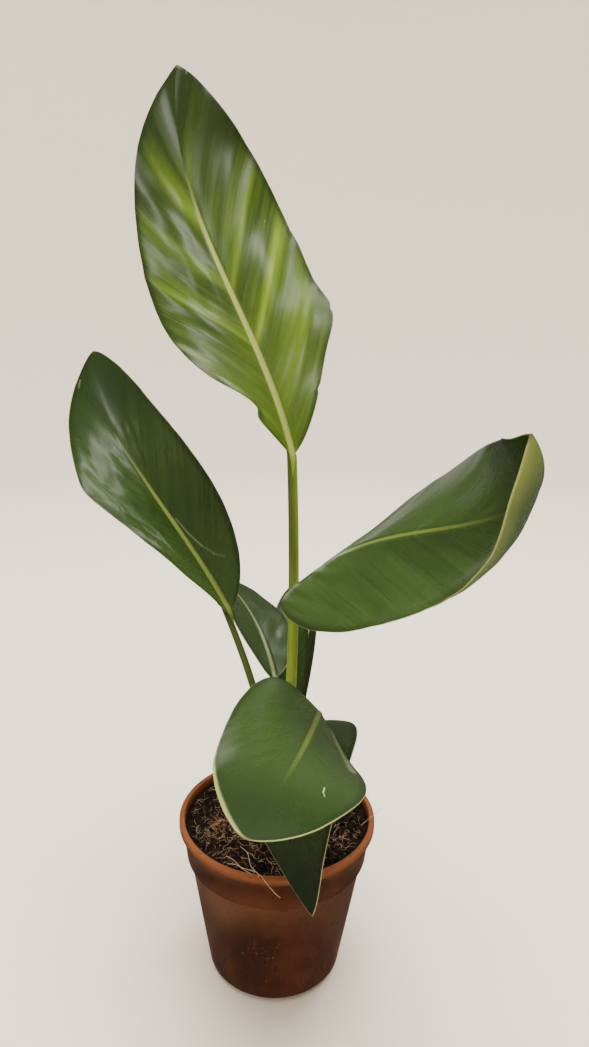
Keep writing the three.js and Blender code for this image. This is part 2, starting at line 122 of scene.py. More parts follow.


# Across is -1 at the left margin and 1 at the right one in a wrinkled patch, and in
# millimetres in a scratch or painted highlight. The left side is -1 for a streak.
LEAVES = (
    Leaf(
        name="tall_leaf", start=(3.5, 3.5, 284), turn=(123, 66, 27), length=209.5,
        arch=(1, 2, 7), sway=(-68, 20, 92), twist=(7, 10, 7),
        left=Half(
            width=38, rise=0.67, fall=0.92, fold=(45, 9, 10), curl=(23, -36, 9), lobe=-16,
            bulges=((0.06, 0.03, 1.5), (0.11, 0.04, -8.5)), ripple=(0.5, 4),
        ),
        right=Half(
            width=42, rise=0.64, fall=0.67, fold=(40, 8, 13), curl=(11, -33, 8), lobe=-8,
            bulges=((0.27, 0.06, 4.5), (0.22, 0.05, 2.5), (0.262, 0.006, -0.9), (0.105, 0.006, -1)),
            ripple=(0.6, 5),
        ),
        stalk=Stalk(root=(-1, 3), low=(8, 7, 139), high=(7, -2, 216), neck=112, finish="young"),
        girth=1.0, throat=9.5, soft=8, pleats=0.3,
        finish="young", mottle=0.5, rib=(2.1, 0.35, 0.9, 1.3), rib_fade=(0.5, 0.76),
        margin=((0.2, 0.25), (0.2, 0.25), 0.4),
        wrinkles=(
            (0.5, -0.5, 0.2, 0.6, 1.7, 12, 1.7), (0.3, -0.6, 0.15, 0.5, 1.6, 15, 1.7),
            (0.5, 0.4, 0.3, 0.6, 1.3, 16, 1.7), (0.48, -0.3, 0.12, 0.3, 0.5, 4, 1.2),
        ),
        # Its bright streaks are painted light that shines through the thin blade
        streaks=(
            (-1, 0.6, 2.6, 0.75), (1, 0.72, 2.6, 0.35), (1, 0.41, 1.8, 0.4), (1, 0.27, 2.6, 0.8),
            (-1, 0.275, 2.4, 0.4), (-1, 0.42, 1.6, 0.2), (1, 0.12, 7.0, 0.3),
        ),
    ),
    Leaf(
        name="left_leaf", start=(-26.5, 0.5, 204), turn=(158, 60, 25), length=159.5,
        arch=(29, 25, 20), sway=(-32, 25, 79), twist=(28, 48, 16),
        left=Half(
            width=28.5, rise=0.61, fall=0.74, fold=(41, 19, -9), curl=(22, 5, -20), lobe=-2,
            bulges=((0.53, 0.08, 3), (0.14, 0.06, 2)), ripple=(0.5, 4),
        ),
        right=Half(
            width=29.5, rise=0.52, fall=0.64, fold=(21, 26, 8), curl=(-9, 17, -2), lobe=-11.5,
            bulges=((0.3, 0.1, -0.5),), ripple=(0.4, 4),
        ),
        stalk=Stalk(root=(-4, 1), low=(0, 2, 118), high=(-9, -9, 161), neck=110, finish="mature"),
        girth=0.7, throat=8, soft=3, pleats=0.1,
        finish="mature", mottle=0.5, rib=(1.9, 0.32, 0.9, 1.5), rib_fade=(0.35, 0.68),
        margin=((0.15, 0.45), (0.2, 0.25), 0.35),
        wrinkles=(
            (0.42, -0.45, 0.27, 0.6, 0.45, 3.4, 0.55), (0.48, -0.45, 0.24, 0.6, 1.25, 7, 0.8),
            (0.6, 0.15, 0.09, 0.35, 1.0, 4, 0.7),
        ),
        marks=(
            (54, 2.2, 44, 3.2, 0.6, 0.16), (44, 3.2, 35, 5.2, 0.6, 0.16),
            (35, 5.2, 27, 8.4, 0.6, 0.13), (27, 8.4, 22, 12, 0.6, 0.1),
            (141, -10.4, 145, -9.2, 0.7, 0.15),
        ),
    ),
    Leaf(
        name="right_leaf", start=(12, -5, 224), turn=(-45, 53, -32), length=176,
        arch=(150, -53.5, -292), sway=(39, 35.5, -39.5), twist=(-7, -20.5, -12),
        left=Half(
            width=33.5, rise=0.54, fall=0.59, fold=(-26, 10, 71.5), curl=(-17, 7.5, 5.5), lobe=-1,
            bulges=((0.74, 0.08, -1.3), (0.86, 0.06, -0.3), (0.95, 0.04, 1)), ripple=(0.4, 4),
        ),
        right=Half(
            width=46, rise=0.36, fall=0.69, fold=(39, -44, 35), curl=(-79, 74.5, 81), lobe=14,
            bulges=((0.6, 0.1, 2), (0.75, 0.08, 0.3)), ripple=(0.5, 6),
        ),
        # Its stalk takes the shaded colours: painted shade
        stalk=Stalk(root=(1, 0), low=(-1, -4, 126), high=(23, -3, 183), neck=115, finish="shaded"),
        girth=0.72, throat=7, soft=2, pleats=0.14, relax=60,
        finish="mature", mottle=0.5, rib=(1.0, 0.45, 0.5, 0.8), rib_fade=(0.4, 0.75),
        margin=((0.1, 0.3), (0.12, 1.1), 0.75),
        wrinkles=(
            (0.12, 0.5, 0.12, 0.6, 0.9, 6, 1.5), (0.4, -0.3, 0.2, 0.5, 0.8, 15, 1.7),
            (0.45, 0.5, 0.25, 0.5, 0.8, 13, 1.7), (0.1, -0.5, 0.1, 0.6, 0.6, 5, 1.5),
        ),
    ),
    Leaf(
        name="front_leaf", start=(20, -17.5, 159.5), turn=(-99, 13, 24), length=127.5,
        arch=(15, 11, 8), sway=(1, 9, 13), twist=(-1, -7, 0),
        left=Half(
            width=29.5, rise=0.89, fall=0.65, fold=(-13, 8, 16), curl=(-37, -3, -5), lobe=-2,
            bulges=((0.5, 0.2, 1.5),),
        ),
        right=Half(width=37.5, rise=0.28, fall=0.6, fold=(15, 2, 9), curl=(2, -41, -17), lobe=6.5),
        stalk=Stalk(root=(0, -5), low=(5, -11, 105), high=(23.5, 4, 153), neck=112, finish="mature"),
        girth=0.8, throat=1.5, soft=3, pleats=0.08,
        finish="mature", mottle=0.2, rib=(1.35, 0.7, 0.45, 1.0), rib_fade=(0.2, 0.75),
        margin=((0.1, 0.7), (0.12, 2.3), 0.75),
        wrinkles=((0.15, 0.3, 0.12, 0.6, 0.5, 14, 1.7),),
        marks=(
            (79, -15.2, 83.5, -15.6, 0.4, 0.7), (83.5, -15.6, 86.5, -17, 0.3, 0.6),
            # The last mark is no scratch: a painted highlight along the fold near the blade's base
            (12, -10, 50, -23, 2.6, 0.2),
        ),
    ),
    Leaf(
        name="low_leaf", start=(10.5, -9.5, 148), turn=(-91, 7, 1), length=96.5,
        arch=(116, 81, 66), sway=(14, -2, 11), twist=(-3, -46, 5),
        left=Half(width=29.5, rise=0.3, fall=0.88, fold=(12, 27, 21), curl=(-26, -4, 11), lobe=8),
        right=Half(width=24.5, rise=0.58, fall=0.91, fold=(40, -4, -11), curl=(-7, -8, -29), lobe=-2),
        stalk=Stalk(root=(0, -9), low=(0, -11, 93), high=(4, -12, 126), neck=108, finish="shaded"),
        girth=0.8, throat=4, soft=2, pleats=0.06,
        finish="shaded", mottle=0.3, rib=(0.8, 0.3, 0.1, 1.0), rib_fade=(0.3, 0.8),
        margin=((0.25, 0.4), (0.25, 0.4), 0.85),
    ),
    Leaf(
        name="back_left_leaf", start=(-3, 11, 162.5), turn=(106, 39, -19), length=102.5,
        arch=(54, 42, 27), sway=(-1, -6, -3), twist=(-9, -12, -3),
        left=Half(width=20.5, rise=0.48, fall=0.6, fold=(27, 18, 16), curl=(-9, -13, -8), lobe=1.5),
        right=Half(width=21, rise=0.53, fall=0.6, fold=(34, 15, 11), curl=(-1, -15, -18), lobe=-7),
        stalk=Stalk(root=(-2, 5), low=(-2, 5, 97), high=(-2, 5, 133), neck=116, finish="shaded"),
        girth=0.7, throat=6, soft=2, pleats=0.1,
        finish="shaded", mottle=0.4, rib=(1.4, 0.4, 0.8, 1.3), rib_fade=(0.6, 0.95),
        margin=((0.3, 0.3), (0.4, 0.4), 0.6),
        wrinkles=((0.4, 0.0, 0.3, 1.0, 0.6, 9, 1.5),),
    ),
    Leaf(
        name="back_right_leaf", start=(6, 25, 146), turn=(96, 47, 4), length=80.5,
        arch=(32, 29, 25), sway=(5, 15, 10), twist=(10, 10, 1),
        left=Half(
            width=11, rise=0.45, fall=0.6, fold=(30, 20, 15), curl=(-10, -10, -10), lobe=0,
            ripple=(0.2, 3),
        ),
        right=Half(
            width=13.5, rise=0.4, fall=0.69, fold=(25, 26, 15), curl=(-16, -2, -10), lobe=4.5,
            ripple=(0.2, 3),
        ),
        stalk=Stalk(root=(1, 6), low=(1, 6, 92), high=(7, 13, 122), neck=106, finish="shaded"),
        girth=0.7, throat=5, soft=2, pleats=0.06,
        finish="shaded", mottle=0.3, rib=(0.9, 0.4, 0.4, 1.0), rib_fade=(0.5, 0.9),
        margin=((0.4, 0.4), (0.5, 0.5), 0.8),
    ),
)

# ---------------------------------------------------------------- settings


def length(name, description, default):
    return bpy.props.FloatProperty(
        name=name, description=description, default=default, unit="LENGTH"
    )


def angle(name, description, default):
    return bpy.props.FloatProperty(
        name=name, description=description, default=math.radians(default), subtype="ANGLE"
    )


def number(name, description, default):
    return bpy.props.FloatProperty(name=name, description=description, default=default)


def count(name, description, default):
    return bpy.props.IntProperty(name=name, description=description, default=default, min=0)


def colour(name, description, default):
    return bpy.props.FloatVectorProperty(
        name=name, description=description, default=default, size=3, min=0, max=1, subtype="COLOR"
    )


class PlantPotSettings(bpy.types.PropertyGroup):
    """Sizes and colours of the pot."""

    height: length("Height", "Height of the pot", POT_HIGH.z)
    lip_radius: length("Lip radius", "Outer radius of the rolled lip", POT_HIGH.x)
    lip_height: length("Lip height", "Height of the rolled lip", 4 * MM)
    lip_edge: length("Lip edge", "Radius of the lip's rounded edges", 1.2 * MM)
    collar_top: length("Collar top radius", "Outer radius of the collar under the lip", 50.8 * MM)
    collar_bottom: length("Collar bottom radius", "Outer radius at the collar's foot", 48.6 * MM)
    collar_height: length("Collar height", "Height of the collar with its lip", 21 * MM)
    body_top: length("Body top radius", "Outer radius of the body under the collar", 46.8 * MM)
    body_bottom: length("Body bottom radius", "Outer radius at the bottom of the body", 36.4 * MM)
    wall: length("Wall", "Thickness of the wall", 1.3 * MM)
    floor: length("Floor", "Thickness of the floor", 1.6 * MM)
    foot_radius: length("Foot radius", "Outer radius of the foot ring", 33 * MM)
    foot_width: length("Foot width", "Width of the foot ring", 5 * MM)
    foot_height: length("Foot height", "Height of the foot ring", 3 * MM)
    pad_radius: length("Pad radius", "Radius of the flat pad under the middle", 12 * MM)
    channel: length("Channel", "Depth of the drainage channel", 1.4 * MM)
    drain_radius: length("Drain hole radius", "Radius of each drain hole", 3 * MM)
    drain_circle: length("Drain circle radius", "Radius of the circle of drain holes", 20 * MM)
    notch: length("Notch width", "Width of the notches in the foot ring", 6 * MM)
    drains: count("Drain holes", "Number of drain holes and notches", 8)
    clay: colour("Plastic", "Colour of the moulded plastic", (0.04, 0.01, 0.003))
    # Also the lip's painted light: its top is made lighter for the light it catches
    wear_and_lip_light: colour("Worn plastic", "Colour of the rubbed lip and of dust", (0.2, 0.068, 0.026))


class PlantSoilSettings(bpy.types.PropertyGroup):
    """Sizes and colours of the soil and what lies on it."""

    edge_height: length("Edge height", "Height of the soil at the pot's wall", 85.5 * MM)
    mound: length("Mound", "How far the middle rises above the edge", 2 * MM)
    radius: length("Radius", "Radius of the soil's top", SOIL_HIGH.x)
    crumbs: count("Crumbs", "Number of loose crumbs", 1700)
    fibres: count("Fibres", "Number of loose coir fibres", 1050)
    peat: colour("Peat", "Colour of the peat", (0.006, 0.0036, 0.0025))
    crumb: colour("Crumb", "Colour of the lighter crumbs", (0.018, 0.009, 0.005))
    fibre: colour("Fibre", "Colour of the pale fibres", (0.6, 0.44, 0.28))
    coir: colour("Coir", "Colour of the orange-brown coir", (0.2, 0.075, 0.022))


class PlantLeafSettings(bpy.types.PropertyGroup):
    """Sizes and colours of the blades and stalks."""

    thickness: length("Thickness", "Thickness of a blade", 0.6 * MM)
    margin: length("Margin thickness", "Thickness of a blade at its margin", 0.3 * MM)
    rib_base: length("Rib half width at base", "Half width of the midrib at the base", 2.5 * MM)
    rib_tip: length("Rib half width at tip", "Half width of the midrib at the tip", 0.9 * MM)
    keel_base: length("Keel at base", "Depth of the midrib's keel at the base", 3.6 * MM)
    keel_tip: length("Keel at tip", "Depth of the midrib's keel at the tip", 0.3 * MM)
    groove: length("Groove", "Depth of the groove along the top of the midrib", 0.7 * MM)
    stalk_base: length("Stalk base radius", "Radius of a stalk at the crown", 4.2 * MM)
    stalk_neck: length("Stalk neck radius", "Radius of a stalk above its sheath", 2.9 * MM)
    stalk_tip: length("Stalk tip radius", "Radius of a stalk at its blade", 2.4 * MM)
    dry: colour("Dry tip", "Colour of the dried tips", (0.13, 0.09, 0.03))


class PlantStudioSettings(bpy.types.PropertyGroup):
    """The camera and the floor."""

    camera_distance: length("Camera distance", "How far the camera is from the pot's axis", 0.3582)
    camera_height: length("Camera height", "Height of the camera above the floor", 0.3459)
    camera_yaw: angle("Camera yaw", "How far the camera turns to the left", -0.85)
    camera_pitch: angle("Camera pitch", "How far the camera looks down", 14.79)
    camera_roll: angle("Camera roll", "How far the camera leans to the left", 1.48)
    picture_height: count("Picture height", "Height of the picture in pixels", 1047)
    focal_pixels: number("Focal length", "Focal length in pixels of that picture", 760)
    floor: colour("Floor", "Colour of the floor and the backdrop", (0.74, 0.69, 0.615))


GROUPS = {
    "plant_pot": PlantPotSettings,
    "plant_soil": PlantSoilSettings,
    "plant_leaf": PlantLeafSettings,
    "plant_studio": PlantStudioSettings,
}

# ---------------------------------------------------------------- shader maths


def socket_of(sockets, key):
    """The socket with this number, identifier or name."""
    if isinstance(key, int):
        return sockets[key]
    for socket in sockets:
        if socket.identifier == key:
            return socket
    return next(socket for socket in sockets if socket.name == key and socket.enabled)


def both_ways(operation):
    """An operator that makes a Math node, and its reflected form."""

    def straight(self, other):
        return self.maths(operation, self, other)

    def reflected(self, other):
        return self.maths(operation, other, self)

    return straight, reflected


class Field:
    """A value that varies over a surface: one output of a shader node, with arithmetic."""

    __add__, __radd__ = both_ways("ADD")
    __sub__, __rsub__ = both_ways("SUBTRACT")
    __mul__, __rmul__ = both_ways("MULTIPLY")
    __truediv__, __rtruediv__ = both_ways("DIVIDE")
    __pow__, __rpow__ = both_ways("POWER")

    def __init__(self, finish, socket):
        self.finish = finish
        self.socket = socket

    def maths(self, operation, *values):
        return self.finish.node("ShaderNodeMath", {"operation": operation}, dict(enumerate(values)))

    def ramp(self, low, high):
        """0 below low, 1 above high and smooth between them; high may be the lower one."""
        settings = {"interpolation_type": "SMOOTHSTEP", "clamp": True}
        inputs = {"Value": self, "From Min": min(low, high), "From Max": max(low, high)}
        rising = self.finish.node("ShaderNodeMapRange", settings, inputs)
        return rising if low < high else 1 - rising


class Finish:
    """A material under construction."""

    def __init__(self, name):
        self.material = bpy.data.materials.new(name)
        self.material.use_nodes = True
        self.tree = self.material.node_tree
        self.tree.nodes.clear()
        self.output = self.tree.nodes.new("ShaderNodeOutputMaterial")

    def node(self, kind, settings=None, inputs=None, output=0):
        """One node: its settings first, then the value or link of each socket."""
        made = self.tree.nodes.new(kind)
        for name, value in (settings or {}).items():
            setattr(made, name, value)
        for key, value in (inputs or {}).items():
            socket = socket_of(made.inputs, key)
            if isinstance(value, Field):
                self.tree.links.new(value.socket, socket)
            elif socket.type == "RGBA" and len(value) == 3:
                socket.default_value = (*value, 1)
            else:
                socket.default_value = value
        return Field(self, socket_of(made.outputs, output))

    def attribute(self, name):
        return self.node("ShaderNodeAttribute", {"attribute_name": name}, output="Fac")

    def place(self):
        """The point's place in the plant's own frame."""
        return self.node("ShaderNodeTexCoord", output="Object")

    def height_of(self, place):
        return self.node("ShaderNodeSeparateXYZ", {}, {0: place}, output="Z")

    def combine(self, x, y, z):
        return self.node("ShaderNodeCombineXYZ", {}, {0: x, 1: y, 2: z})

    def vector(self, operation, *values):
        output = "Value" if operation in ("DOT_PRODUCT", "LENGTH") else "Vector"
        values = dict(enumerate(values))
        return self.node("ShaderNodeVectorMath", {"operation": operation}, values, output)

    def from_line(self, point, start, end):
        """The distance of a point from a line between two points."""
        start, end = Vector(start), Vector(end)
        line = end - start
        away = self.vector("SUBTRACT", point, start)
        share = self.vector("DOT_PRODUCT", away, line) / line.length_squared
        share = share.maths("MINIMUM", share.maths("MAXIMUM", share, 0), 1)
        nearest = self.vector("MULTIPLY", tuple(line), self.combine(share, share, share))
        return self.vector("LENGTH", self.vector("SUBTRACT", away, nearest))

    def noise(self, vector, scale, detail=2.0, roughness=0.5):
        inputs = {"Vector": vector, "Scale": scale, "Detail": detail, "Roughness": roughness}
        return self.node("ShaderNodeTexNoise", {}, inputs, output="Fac")

    def spots(self, vector, scale):
        """The distance to the nearest of scattered points."""
        inputs = {"Vector": vector, "Scale": scale}
        return self.node("ShaderNodeTexVoronoi", {}, inputs, output="Distance")

    def mix(self, share, first, second):
        settings = {"data_type": "RGBA", "clamp_factor": True}
        inputs = {"Factor_Float": share, "A_Color": first, "B_Color": second}
        return self.node("ShaderNodeMix", settings, inputs, output="Result_Color")

    def bump(self, height, distance):
        inputs = {"Height": height, "Distance": distance, "Strength": 1.0}
        return self.node("ShaderNodeBump", {}, inputs, output="Normal")

    def surface(self, **sockets):
        """The finished surface. An underscore in a name stands for a space."""
        inputs = {name.replace("_", " "): value for name, value in sockets.items()}
        shader = self.node("ShaderNodeBsdfPrincipled", {}, inputs)
        self.tree.links.new(shader.socket, self.output.inputs["Surface"])
        return self.material


# ---------------------------------------------------------------- finishes

# Colours of a kind of leaf: the blade, its bright streaks, light and dark parts, midrib,
# margin and underside, the stalk and the stalk's shaded side. The bright streaks are painted
# light that shines through the blade.
LEAF_KINDS = {
    "young": {
        "blade": (0.02, 0.041, 0.007),
        "streak": (0.19, 0.3, 0.012),
        "light": (0.078, 0.135, 0.017),
        "dark": (0.009, 0.02, 0.003),
        "rib": (0.36, 0.38, 0.13),
        "margin": (0.2, 0.28, 0.05),
        "under": (0.11, 0.17, 0.05),
        "stalk": (0.2, 0.3, 0.016),
        "shade": (0.05, 0.085, 0.008),
    },
    "mature": {
        "blade": (0.021, 0.043, 0.01),
        "streak": (0.05, 0.1, 0.012),
        "light": (0.031, 0.06, 0.014),
        "dark": (0.009, 0.022, 0.004),
        "rib": (0.2, 0.25, 0.05),
        "margin": (0.3, 0.32, 0.11),
        "under": (0.05, 0.08, 0.032),
        "stalk": (0.05, 0.085, 0.009),
        "shade": (0.014, 0.026, 0.005),
    },
    # Painted shade: darker colours for the leaves and stalks that lie in the shade of others
    "shaded": {
        "blade": (0.018, 0.036, 0.009),
        "streak": (0.03, 0.055, 0.014),
        "light": (0.018, 0.038, 0.009),
        "dark": (0.006, 0.013, 0.004),
        "rib": (0.17, 0.21, 0.08),
        "margin": (0.3, 0.31, 0.14),
        "under": (0.07, 0.1, 0.04),
        "stalk": (0.024, 0.036, 0.008),
        "shade": (0.007, 0.011, 0.003),
    },
}


SCRATCH_AND_HIGHLIGHT_TONE = (0.4, 0.45, 0.24)
FLECK_TONE = (0.4, 0.42, 0.24)
SHEATH_TONE = (0.16, 0.17, 0.06)
DIRT_TONE = (0.02, 0.009, 0.005)
CHIP_TONE = (0.3, 0.16, 0.09)
FOOT_TONE = (0.06, 0.026, 0.014)
FLOOR_TONE = (0.7, 0.68, 0.66)

# What a blade's mesh tells its finish at each point: the share of the midrib's length, the
# place across the veins, the distance from the midrib, negative on the left, that distance and
# the one from the margin in widths of the pale midrib and margin, the millimetres from the
# margin, the strength of the bright streaks of painted light, and 1 on top or 0 below.
BLADE_FIELDS = ("along", "vein", "signed", "midrib", "edge", "rim", "streak", "upper")


def vein_noise(finish, vein, signed, seed, width, reach, detail):
    """Noise drawn out along the veins, with its width across them and its reach in millimetres."""
    return finish.noise(finish.combine(vein / width, signed / reach, seed), 1, detail)


def blade_finish(leaf, settings, seed):
    """Glossy leaf tissue: fine side veins, streaks of painted light along them, pale midrib and margin,
    and painted shade along the margin.
    """
    finish = Finish(f"{leaf.name}_blade")
    tones = LEAF_KINDS[leaf.finish]
    fields = [finish.attribute(key) for key in BLADE_FIELDS]
    along, vein, signed, midrib, edge, rim, streak, upper = fields
    mottle = leaf.mottle
    broad = vein_noise(finish, vein, signed, seed, 7, 50, 2)
    narrow = vein_noise(finish, vein, signed, seed + 3, 2.4, 45, 3)
    fine = vein_noise(finish, vein, signed, seed, 0.75, 60, 1)
    cloud = finish.noise(finish.place(), 38, 3)

    # The top: mottled, streaked with painted light, paler at the base and darker at the tip, with
    # painted shade along the margin
    lighter = broad.ramp(0.42, 0.66) * mottle + 0.3 * (1 - mottle)
    tone = finish.mix(lighter, tones["blade"], tones["light"])
    tone = finish.mix(cloud.ramp(0.45, 0.7) * mottle * 0.6, tone, tones["dark"])
    tone = finish.mix(narrow.ramp(0.5, 0.28) * mottle * 0.7, tone, tones["dark"])
    tone = finish.mix(along.ramp(0.35, 0.05) * 0.5, tone, tones["light"])
    # Bright streaks along the veins: painted light that shines through the thin young blade
    tone = finish.mix(streak * (0.35 + narrow * 0.9), tone, tones["streak"])
    tone = finish.mix(fine.ramp(0.4, 0.7) * 0.09, tone, tones["streak"])
    tone = finish.mix(along.ramp(0.55, 0.9) * 0.85, tone, tones["dark"])
    # Painted shade: darker along the margin, where the curled-under edge faces away from the light
    tone = finish.mix(rim.ramp(4.5, 0.8) * 0.65, tone, tones["dark"])

    # The underside: paler, more so at the tip and the margin
    below = finish.mix(fine.ramp(0.35, 0.65) * 0.1 + narrow * 0.15, tones["under"], tones["blade"])
    below = finish.mix(along.ramp(0.86, 0.97) * 0.4 + rim.ramp(9, 1) * 0.3, below, tones["rib"])
    tone = finish.mix(upper, below, tone)

    # The pale midrib, its flanks and the pale margin
    fade_from, fade_to = leaf.rib_fade
    fade = along.ramp(fade_to, fade_from)
    tone = finish.mix(midrib.ramp(2.6, 1.0) * 0.35 * fade, tone, tones["light"])
    rib_tone = finish.mix(fine * 0.5, tones["rib"], tones["streak"])
    tone = finish.mix(midrib.ramp(1.3, 0.6) * fade * leaf.rib[2], tone, rib_tone)
    tone = finish.mix(edge.ramp(1.7, 0.4) * leaf.margin[2], tone, tones["margin"])

    # Scratches, flecks and a painted highlight along a fold
    flat = finish.combine(along * leaf.length, signed, 0.0)
    for *ends, width, paleness in leaf.marks:
        far = finish.from_line(flat, (*ends[:2], 0), (*ends[2:], 0))
        tone = finish.mix(far.ramp(width, width * 0.4) * paleness * upper, tone, SCRATCH_AND_HIGHLIGHT_TONE)
    flecks = finish.spots(finish.combine(vein / 16, signed / 16, seed), 1).ramp(0.026, 0.016)
    tone = finish.mix(flecks * 0.5 * upper, tone, FLECK_TONE)

    # The dry tip, and the base that runs down into the stalk
    tone = finish.mix(along.ramp(0.988, 0.998) * 0.8, tone, settings.dry)
    tone = finish.mix(along.ramp(0.02, -0.02), tone, tones["stalk"])
    rough = 0.2 + narrow * 0.08 + cloud * 0.08
    height = fine * 0.2 + narrow * 0.2 + finish.noise(finish.place(), 900, 2) * 0.04
    bumps = finish.bump(height, 0.05 * MM)
    return finish.surface(Base_Color=tone, Roughness=rough, Normal=bumps, IOR=1.4)


def stalk_finish(kind):
    """Waxy stalk tissue with fine grooves along it, paler where it leaves the soil."""
    finish = Finish(f"{kind}_stalk")
    tones = LEAF_KINDS[kind]
    around = finish.attribute("around")
    place = finish.place()
    height = finish.height_of(place)
    grooves = finish.noise(finish.combine(around * 9, height * 12, 0.0), 1, 2)
    cloud = finish.noise(place, 90, 3)
    tone = finish.mix(grooves.ramp(0.35, 0.7) * 0.5, tones["stalk"], tones["shade"])
    tone = finish.mix(cloud.ramp(0.5, 0.75) * 0.3, tone, tones["streak"])
    tone = finish.mix(height.ramp(112 * MM, 92 * MM) * 0.6, tone, SHEATH_TONE)
    shaded_side = around.ramp(0.72, 0.42) * height.ramp(170 * MM, 250 * MM)
    tone = finish.mix(shaded_side * 0.95, tone, tones["shade"])
    bumps = finish.bump(grooves, 0.12 * MM)
    return finish.surface(Base_Color=tone, Roughness=0.34 + cloud * 0.1, Normal=bumps)


# Where dirt has gathered on the front of the pot
DIRTY_PATCH = (-4 * MM, -42 * MM, 33 * MM)


def pot_finish(settings):
    """Moulded plastic: satin, a little dusty, with painted light on the lip's top, dirt and scuffs."""
    finish = Finish("pot_plastic")
    place = finish.place()
    height = finish.height_of(place)
    cloud = finish.noise(place, 28, 4, 0.6)
    grain = finish.noise(place, 1400, 2)
    scuffs = finish.noise(finish.vector("MULTIPLY", place, (1.0, 1.0, 0.12)), 260, 3, 0.7)
    from_patch = finish.vector("SUBTRACT", place, DIRTY_PATCH)
    patch = finish.vector("LENGTH", from_patch).ramp(18 * MM, 4 * MM)
    specks = finish.noise(place, 420, 3, 0.6) + patch * 0.09
    chips = finish.noise(place, 650, 2) + patch * 0.07
    tone = finish.mix(cloud.ramp(0.42, 0.68) * 0.2, settings.clay, settings.wear_and_lip_light)
    tone = finish.mix(scuffs.ramp(0.6, 0.78) * 0.3, tone, settings.wear_and_lip_light)
    # Painted light: the top of the lip lighter, where it catches the light
    tone = finish.mix(height.ramp(85 * MM, 89 * MM) * 0.7, tone, settings.wear_and_lip_light)
    tone = finish.mix(specks.ramp(0.66, 0.73) * 0.7, tone, DIRT_TONE)
    tone = finish.mix(chips.ramp(0.74, 0.78) * 0.7, tone, CHIP_TONE)
    tone = finish.mix(height.ramp(14 * MM, 2 * MM) * 0.5, tone, FOOT_TONE)
    rough = 0.36 + cloud * 0.2 + specks.ramp(0.6, 0.75) * 0.2
    relief = grain * 0.5 + scuffs.ramp(0.6, 0.8) * 0.5 + specks.ramp(0.64, 0.75)
    return finish.surface(
        Base_Color=tone, Roughness=rough, Normal=finish.bump(relief, 0.08 * MM),
        Specular_IOR_Level=0.15,
        Sheen_Weight=0.12, Sheen_Roughness=0.14, Sheen_Tint=(1.0, 0.5, 0.28, 1.0),
    )


def soil_finish(settings):
    """Dark damp peat with lighter crumbs in it."""
    finish = Finish("potting_soil")
    place = finish.place()
    coarse = finish.noise(place, 260, 4, 0.65)
    fine = finish.noise(place, 1100, 3, 0.7)
    tone = finish.mix(coarse.ramp(0.5, 0.72) * 0.6, settings.peat, settings.crumb)
    tone = finish.mix(fine.ramp(0.62, 0.75) * 0.35, tone, settings.coir)
    bumps = finish.bump(coarse + fine * 0.6, 0.8 * MM)
    rough = 0.72 + fine * 0.25
    return finish.surface(Base_Color=tone, Roughness=rough, Normal=bumps, Specular_IOR_Level=0.2)


def crumb_finish(settings):
    """Loose crumbs, each with a tint of its own."""
    finish = Finish("soil_crumbs")
    tint = finish.attribute("tint")
    fine = finish.noise(finish.place(), 1500, 3, 0.7)
    tone = finish.mix(tint ** 3, settings.peat, settings.crumb)
    tone = finish.mix(fine.ramp(0.5, 0.7) * 0.4, tone, settings.crumb)
    bumps = finish.bump(fine, 0.3 * MM)
    rough = 0.7 + fine * 0.25
    return finish.surface(Base_Color=tone, Roughness=rough, Normal=bumps, Specular_IOR_Level=0.2)


def fibre_finish(settings):
    """Dry plant fibres from pale straw to orange-brown."""
    finish = Finish("coir_fibres")
    tint = finish.attribute("tint")
    streak = finish.noise(finish.place(), 800, 2)
    tone = finish.mix(tint, settings.coir, settings.fibre)
    tone = finish.mix(streak.ramp(0.5, 0.7) * 0.4, tone, settings.crumb)
    return finish.surface(Base_Color=tone, Roughness=0.5 + streak * 0.2)


def floor_finish(base):
    """Matt and almost even."""
    finish = Finish("studio_floor")
    cloud = finish.noise(finish.place(), 1.2, 2)
    tone = finish.mix(cloud * 0.06, base, FLOOR_TONE)
    return finish.surface(Base_Color=tone, Roughness=0.85, Specular_IOR_Level=0.2)


# ---------------------------------------------------------------- meshes


def add_piece(name, points, faces, attributes=None):
    """A smooth mesh object in the plant's frame, with one number per point for each attribute."""
    mesh = bpy.data.meshes.new(name)
    mesh.from_pydata([tuple(p) for p in points], [], [tuple(f) for f in faces])
    for key, values in (attributes or {}).items():
        attribute = mesh.attributes.new(key, "FLOAT", "POINT")
        attribute.data.foreach_set("value", np.asarray(values, np.float32))
    mesh.update()
    mesh.shade_smooth()
    piece = bpy.data.objects.new(name, mesh)
    bpy.context.scene.collection.objects.link(piece)
    return piece


def dress(piece, materials, replaces=()):
    """Gives a piece its materials, its body and the nodes that it stands for."""
    for material in materials:
        piece.data.materials.append(material)
    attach(piece, BODY)
    if replaces:
        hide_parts(*replaces)
    return piece


class Heap:
    """Closed shapes gathered into one mesh, with one number for each point."""

    def __init__(self):
        self.points, self.faces, self.values = [], [], []

    def add(self, points, faces, value):
        """Adds a shape, with a number for each of its points or one for all of them."""
        base = len(self.points)
        self.points += [tuple(p) for p in points]
        self.faces += [[base + k for k in face] for face in faces]
        self.values += list(np.broadcast_to(value, len(points)))


def ease(low, high, share):
    return low + (high - low) * share


def turn_about(vector, axis, turn):
    """A vector turned about an axis by an angle in radians."""
    return (
        vector * math.cos(turn)
        + np.cross(axis, vector) * math.sin(turn)
        + axis * np.dot(axis, vector) * (1 - math.cos(turn))
    )


def unit(vectors):
    return vectors / np.linalg.norm(vectors, axis=-1, keepdims=True)


